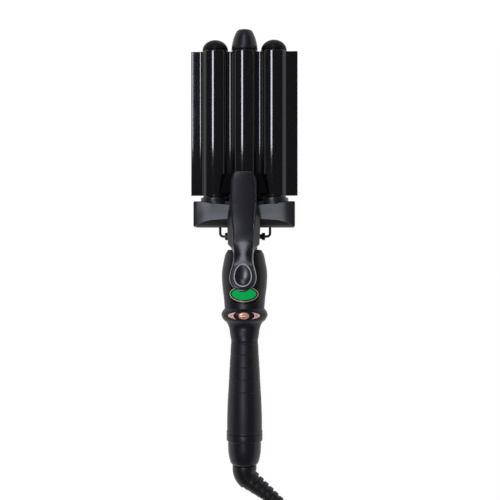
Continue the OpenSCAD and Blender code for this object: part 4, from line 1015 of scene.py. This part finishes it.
dress(from_part("neck", "neck_stem", 0.5), "body", "shell_plastic", "neck_stem")
dress(from_part("block_housing", "block_body", 0.5), "body", "shell_plastic", "block_body",
      look=BLOCK_BLACK)
dress(make_block_face(), "body", "cover_plastic", "block_front_cover")
dress(from_part("wire_bushes", "stand_bushes", 0.35), "body", "gloss_plastic", "stand_bushes")
dress(from_part("hinge_pin_rod", "hinge_pin", 0.25), "body", "steel", "hinge_pin")
dress(make_screws("block_screw_pair", 1.3, 12.9, 33.07 + MID_S), "body", "steel", "block_screws")
dress(make_screws("head_screw_pair", 5.2, 13.8, MID_S - 20.73, 16.7), "body", "steel",
      "shell_screws")


# Barrels, collars, domes and cool tip
BARREL_R, BORE_R, PLUG_R = 10.7, 9.6, 9.5
# The plug of a dome or of the tip in the barrel's end, and its seat on the rim
END_FOOT = [(0, BARREL_TOP_S - 6), (PLUG_R, BARREL_TOP_S - 6), (PLUG_R, BARREL_TOP_S + 0.05)]


def make_barrels():
    line = [(BARREL_R, BARREL_FOOT_S), (BARREL_R, BARREL_TOP_S), (BORE_R, BARREL_TOP_S),
            (BORE_R, BARREL_FOOT_S)]
    tube = turned("heated_barrels", softened(line, 0.3, closed=True), closed=True)
    return in_row(tube, 3, PITCH, FINISHES["coated_metal"])


def make_collars():
    line = [(10.75, COLLAR_S), (12.8, COLLAR_S), (12.8, COLLAR_TOP_S - 0.8),
            (11.9, COLLAR_TOP_S), (10.75, COLLAR_TOP_S)]
    ring = turned("barrel_collars", softened(line, 0.35, closed=True), closed=True)
    for v in ring.data.vertices:
        v.co.z = max(v.co.z, 5.6 * MM)
    return in_row(ring, 3, PITCH, COLLAR_BLACK)


def make_collar_webs():
    """Two webs that close the room between the collars above the block."""
    webs = []
    for middle in (-PITCH / 2, PITCH / 2):
        outline = [(middle - 2.6, 230.4), (middle + 2.6, 230.4), (middle + 2.1, 238),
                   (middle - 2.1, 238)]
        webs.append(softened_edges(upright_prism("web", outline, 8, 19), 0.3))
    return join("collar_webs", webs)


def make_domes():
    crown = [(11.3 * math.cos(math.radians(a)),
              BARREL_TOP_S + 0.5 + 9.3 * math.sin(math.radians(a))) for a in range(0, 90, 5)]
    dome = turned("barrel_domes", END_FOOT + [(BARREL_R, BARREL_TOP_S + 0.05)] + crown
                  + [(0, BARREL_TOP_S + 9.8)])
    return in_row(dome, 2, PITCH, DOME_BLACK)


def make_cool_tip():
    side = eased([(11.6, BARREL_TOP_S + 0.9), (11.3, BARREL_TOP_S + 4.23),
                  (10.1, BARREL_TOP_S + 9.94), (8.7, BARREL_TOP_S + 13.98),
                  (7.1, TIP_TOP_S - 1.2), (6.1, TIP_TOP_S - 0.2)], 6)
    line = END_FOOT + [(10.6, BARREL_TOP_S + 0.05)] + side + [(5.1, TIP_TOP_S), (0, TIP_TOP_S)]
    return turned("cool_tip_cone", softened(line, 0.25))


dress(make_barrels(), "body", "coated_metal", "barrel_left", "barrel_centre", "barrel_right")
dress(make_collars(), "body", "shell_plastic", "collar_left", "collar_centre", "collar_right",
      look=COLLAR_BLACK)
dress(make_collar_webs(), "body", "shell_plastic", look=BLOCK_BLACK)
dress(make_domes(), "body", "gloss_plastic", "dome_left", "dome_right", look=DOME_BLACK)
dress(make_cool_tip(), "body", "shell_plastic", "cool_tip")


# Clamp: wave plate, saddle, lever and thumb pad

def make_wave_plate():
    sheet = solid("wave_plate", [(0, 0, 0)], [])
    grow(sheet, WAVE, Width=93.3 * MM, Length=(PLATE_TOP_S - PLATE_S) * MM,
         Ridge_radius=12.5 * MM, Valley_radius=3.85 * MM, Half_pitch=PITCH / 2 * MM,
         Valley_height=10.045 * MM, Ridge_reach=9.863 * MM, Columns=301, Roll=4.5 * MM,
         Lip=1.4 * MM, Centre=tuple(spot(0, (PLATE_S + PLATE_TOP_S) / 2, AXIS_Z)),
         Finish=FINISHES["clamp_coating"])
    wall = sheet.modifiers.new("wall", "SOLIDIFY")
    wall.thickness = 1.1 * MM
    wall.offset = -1
    settle(sheet, 60)
    return softened_edges(sheet, 0.3, 3, 60, 60)


# The lever's sections: station and lower and upper height from the hinge, half width below
# and half width at the top
LEVER_ROWS = [
    (55.2, 7.05, 12.9, 8, 6.4), (55, 7.05, 13.1, 8.5, 7), (54.2, 7.05, 13.2, 9.5, 8),
    (52.6, 7.05, 13.3, 10.6, 9.1), (49.5, 7.05, 13.4, 11.7, 10.2), (44, 7.05, 13.55, 12.2, 10.8),
    (36, 7.05, 13.8, 11.5, 10.9), (29.4, 5.5, 14, 11.6, 11),
    (26.8, 5.5, 14.1, 12.4, 11), (16.4, 5.5, 14.7, 14.1, 10.2), (9, 5.5, 15.5, 14.2, 9.5),
    (2.4, 7.5, 16.7, 14, 9), (-3.6, 7.5, 18.2, 13.7, 8.7), (-7.2, 8.4, 19.35, 13.4, 8.5),
    (-9.6, 10.2, 20.35, 11.2, 8.3), (-13.6, 12.6, 22.3, 8.9, 8), (-18.6, 15.6, 24.8, 8.6, 7.8),
    (-22.6, 18, 26.3, 8.8, 7.9), (-25.6, 19.8, 27.2, 9.4, 8.6), (-30.6, 22.4, 28.5, 10.8, 10.1),
    (-35.2, 24.6, 29.7, 11.4, 10.8), (-39.6, 26.4, 30.9, 10.6, 10), (-43, 27.6, 31.8, 8.4, 7.7),
    (-45.6, 28.6, 32.2, 5.2, 4.6), (-47, 29.7, 32, 2.7, 2.1)]


def lever_ring(row):
    """A section crowned most in the middle of the slope, with a fine bead along each edge."""
    ds, low, high, half, top = row
    low, high = low + HINGE_Z, high + HINGE_Z
    thick = high - low
    crown = min(0.2 + 1.1 * max(0, min(1, (ds + 25) / 9, (-ds - 3) / 12)), 0.28 * thick)
    bead = min(0.32, 0.05 * thick)
    side = [(half, low), (half, low + 0.42 * thick), (top + 0.2, high - crown - 3 * bead),
            (top + 0.1, high - crown), (top - bead, high - crown + bead),
            (top - 2 * bead, high - crown + 0.2 * bead)]
    reach = top - 3 * bead
    side += [(reach * k / 5, high - crown * (reach * k / 5 / top) ** 2) for k in (5, 4, 3, 2, 1)]
    ring = side + [(0, high)] + [(-x, z) for x, z in reversed(side)]
    return [spot(x, HINGE_S + ds, z)
            for x, z in softened(ring, 0.3, closed=True, steps=2, least_turn=0)]


PAD_TILT = (Matrix.Translation(spot(0, HINGE_S - 33.2, HINGE_Z + 29.2))
            @ Matrix.Rotation(math.radians(-14.6), 4, "X"))


def on_pad(x, y, z):
    return PAD_TILT @ Vector((x * MM, y * MM, z * MM))


def egg(grow_by, steps=72):
    """Outline of the thumb pad, wider towards the tips."""
    return [((7.5 + grow_by) * math.sin(a) * (1 + 0.12 * math.cos(a)),
             -(9.9 + grow_by) * math.cos(a))
            for a in (2 * math.pi * k / steps for k in range(steps))]


def make_lever():
    """The lever with the pocket of its pad and its two hinge cheeks."""
    arm = lofted("lever_arm", [lever_ring(row) for row in eased(LEVER_ROWS, 5)], sharp=38)
    cut(arm, [lofted("pocket", [[on_pad(0.97 * x, 0.97 * y, z) for x, y in egg(-0.55)]
                                for z in (-2.4, 5)])])
    eye = 7.3
    cheek = arc(HINGE_S, HINGE_Z, eye, 180, 180, 30) + [
        (HINGE_S + eye, HINGE_Z + 9), (HINGE_S - 6.9, HINGE_Z + 11)]
    sides = [softened_edges(prism("cheek", *([spot(side * x, s, z) for s, z in cheek]
                                             for x in (11.3, 13.4))), 0.4) for side in (-1, 1)]
    return join("lever_arm", [arm] + sides)


def make_thumb_pad():
    """The hollowed pad inside its bead."""
    levels = [(1.0, -2.2), (1.0, 0.2)]
    levels += [(share, 0.2 - 1.6 * (1 - share ** 2)) for share in
               (0.97, 0.92, 0.85, 0.75, 0.62, 0.48, 0.34, 0.2, 0.08, 0.001)]
    return lofted("thumb_hollow", [[on_pad(x * share, y * share - 2.4 * (1 - share), z)
                                    for x, y in egg(-0.55)] for share, z in levels], sharp=60)


def make_pad_bead():
    """The fine bead round the thumb pad, coloured pale as a painted highlight along its rim."""
    section = [(0.55 * math.cos(a), 0.4 * math.sin(a) + 0.14)
               for a in (2 * math.pi * k / 10 for k in range(10))]
    return swept("pad_bead", egg(-0.35), section, on_pad, sharp=60)


dress(make_wave_plate(), "clamp", "clamp_coating", "clamp_plate")
dress(from_part("saddle", "clamp_saddle", 0.6), "clamp", "gloss_plastic", "clamp_saddle",
      look=SADDLE_BLACK)
dress(make_lever(), "clamp", "shell_plastic", "lever", look=LEVER_BLACK)
dress(make_thumb_pad(), "clamp", "gloss_plastic", "thumb_pad", look=PAD_BLACK)
dress(make_pad_bead(), "clamp", "gloss_plastic", look=PALE_BEAD_PAINTED_HIGHLIGHT)


# Wire stand, swivel boot, strain relief, tie and plug

def make_stand():
    half, bend, length, wire_r, z = 22.3, 2.8, 61, 1.15, 4
    right = ([(8.6, HINGE_S)] + arc(half - bend, HINGE_S + bend, bend, -90, 90, 8)
             + arc(half - bend, HINGE_S + length - bend, bend, 0, 90, 8))
    line = right + [(-x, s) for x, s in reversed(right)]
    return along_path("stand_wire_bow", [spot(x, s, z) for x, s in line], wire_r)


def make_boot():
    """A spindle in the end cap, the round boot and its elbow, swept as one."""
    boot_r, taper, end_r, steps = 10.6, 0.9, 9.3, 14
    straight = [(15, 4.6), (4.7, 4.6), (4.6, 8.5), (3.1, 8.5), (3.0, 6), (-0.4, 6),
                (-0.42, 10.1), (-0.6, 10.4), (-1.5, boot_r), (-3, boot_r), (ELBOW_S, boot_r)]
    points = [spot(0, s, AXIS_Z) for s, _ in straight]
    points += [spot(*elbow(ELBOW_TURN * i / steps)) for i in range(1, steps + 1)]
    radii = [r for _, r in straight]
    radii += [boot_r - taper * i / steps for i in range(1, steps)] + [end_r]
    return along_path("boot_elbow", points, radii, sides=64)


def make_relief():
    """Ribs that shrink towards the cord, on a tapered sleeve."""
    count, rib_r, last_rib_r = 7, 8.9, 4.5
    pitch = RELIEF_LENGTH / count
    rib = [(0, 0.1), (8.3, 0.1), (rib_r, 0.5), (rib_r, pitch - 2.1), (8.3, pitch - 1.7),
           (0, pitch - 1.7)]
    ribs = turned("relief_ribs", softened(rib, 0.35), z=0, steps=48)
    ribs.data.transform(UPRIGHT)
    grow(ribs, ROW, Count=count, Start=(0, 0, 0), Step=(0, 0, pitch * MM),
         Last_width=last_rib_r / rib_r, Finish=FINISHES["cord_rubber"])
    settle(ribs)
    ribs.data.transform(Matrix.Translation(spot(*RELIEF_START))
                        @ RELIEF_DIR.to_track_quat("Z", "Y").to_matrix().to_4x4())
    outer_side = Vector((RELIEF_DIR.y, -RELIEF_DIR.x, 0))
    # Distance, shift towards the bend's outer side, radius
    places = [(0.1, 0.75, 8.1), (14, 0.65, 6.75), (28, 0.55, 5.3), (41.9, 0.45, 3.95)]
    sleeve = along_path("sleeve", [spot(*(RELIEF_START + RELIEF_DIR * d + outer_side * shift))
                                   for d, shift, _ in places], [r for *_, r in places], sides=40)
    return join("strain_relief_sleeve", [ribs, sleeve])


def make_tie():
    """A flat strap once round the coil's section."""
    corner = 1.6

    def loop(half):
        reach = half - corner
        return [p for x, z, start in ((1, 1, 0), (-1, 1, 90), (-1, -1, 180), (1, -1, 270))
                for p in arc(x * reach, z * reach, corner, start, 90, 4)]

    def width(r, z):
        return [spot(*at_coil(a, COIL_TURN_R + r, COIL_Z + z)) for a in range(100, 119, 3)]

    rings = [width(*outer) + width(*inner)[::-1]
             for outer, inner in zip(loop(10.55), loop(9.85))]
    return softened_edges(lofted("tie_strap", rings, closed=True), 0.2, 2)


dress(make_stand(), "stand", "wire_coating", "stand_wire")
dress(make_boot(), "swivel", "gloss_plastic", "swivel_boot", look=BOOT_BLACK)
dress(make_relief(), "swivel", "cord_rubber", "strain_relief")
tie_strap = dress(make_tie(), "swivel", "cord_rubber", "cord_tie")
plug = dress(from_part("plug_moulding", "plug_body", 1.4, segments=4), "swivel",
             "gloss_plastic", "plug_body")
pins = dress(from_part("plug_pin_pair", "plug_pins", 0.5), "swivel", "copper_alloy", "plug_pins")
dress(mains_cord, "swivel", "cord_rubber", "cord_tube", "cord_coil", "cord_tail")

# The part's own solids that stay in sight get the finish of their slot
for row in frame["record"]["subparts"]:
    coat(nodes[row["node"]], FINISHES[row["material_slot"]])


# Floor, sky, ceiling and lamps

WHITE, COOL_WHITE = (1, 1, 1), (0.94, 0.96, 1.08)


def shows_white(tree, shaded, white, share=1.0):
    """The shade itself for the light it gives, white for the eye, gloss and glass."""
    rays = add(tree, "ShaderNodeLightPath").outputs
    seen = maths(tree, "MAXIMUM", rays["Is Camera Ray"],
                 maths(tree, "MAXIMUM", rays["Is Glossy Ray"], rays["Is Transmission Ray"]))
    return add(tree, "ShaderNodeMixShader", {0: times(tree, seen, share), 1: shaded.outputs[0],
                                             2: white.outputs[0]})


def glowing(tree, kind, colour, strength):
    return add(tree, kind, {"Color": (*colour, 1), "Strength": strength})


def make_sky(level):
    world = bpy.data.worlds.new("studio")
    world.use_nodes = True
    tree = world.node_tree
    tree.nodes.clear()
    soft, white = (glowing(tree, "ShaderNodeBackground", WHITE, strength)
                   for strength in (level, 1.0))
    add(tree, "ShaderNodeOutputWorld", {0: shows_white(tree, soft, white).outputs[0]})
    bpy.context.scene.world = world


def stage_sheet(name, half, z, shaded_by):
    """A level square of the studio that isn't part of the object."""
    mesh = bpy.data.meshes.new(name)
    mesh.from_pydata([(x * half, y * half, z) for x, y in ((-1, -1), (1, -1), (1, 1), (-1, 1))],
                     [], [(0, 1, 2, 3)])
    material = bpy.data.materials.new(name)
    material.use_nodes = True
    tree = material.node_tree
    tree.nodes.clear()
    add(tree, "ShaderNodeOutputMaterial", {0: shaded_by(tree).outputs[0]})
    mesh.materials.append(material)
    sheet = into_scene(name, mesh)
    return sheet


def floor_shade(tree):
    """Pale paper that keeps some of the object's shadow."""
    paper = add(tree, "ShaderNodeBsdfDiffuse", {"Color": (0.85, 0.85, 0.85, 1)})
    return shows_white(tree, paper, glowing(tree, "ShaderNodeEmission", WHITE, 1.04), 0.93)


def make_ceiling(level):
    """A wide dark ceiling above the lamps, there for the reflections alone."""
    ceiling = stage_sheet("dark_ceiling", 3.9, 1.1, lambda tree: glowing(
        tree, "ShaderNodeEmission", COOL_WHITE, level))
    ceiling.visible_camera = ceiling.visible_diffuse = ceiling.visible_shadow = False
    ceiling.visible_transmission = ceiling.visible_volume_scatter = False


def softbox(name, centre, aim, size, radiance):
    """A rectangular lamp of an even brightness, turned towards a point."""
    data = bpy.data.lights.new(name, "AREA")
    data.shape = "RECTANGLE"
    data.size, data.size_y = size
    data.color = COOL_WHITE
    data.energy = radiance * math.pi * size[0] * size[1]
    lamp = into_scene(name, data)
    lamp.location = centre
    away = (Vector(centre) - Vector(aim)).normalized()
    across = Vector((0, 1, 0)).cross(away).normalized()
    lamp.rotation_euler = Matrix((across, away.cross(across), away)).transposed().to_euler()


stage_sheet("floor", 4, -0.0004, floor_shade)
make_sky(0.35)
make_ceiling(0.13)
softbox("ridge_strip", (-0.285, 0.325, 0.95), (0, 0.14, 0.02), (0.2, 0.23), 17.5)
softbox("grip_soft", (-0.13, -0.17, 0.95), (0, -0.1, 0.02), (0.25, 0.2), 11)
softbox("far_soft", (-0.07, 0.9, 0.92), (0, 0, 0.03), (0.3, 0.55), 5.6)
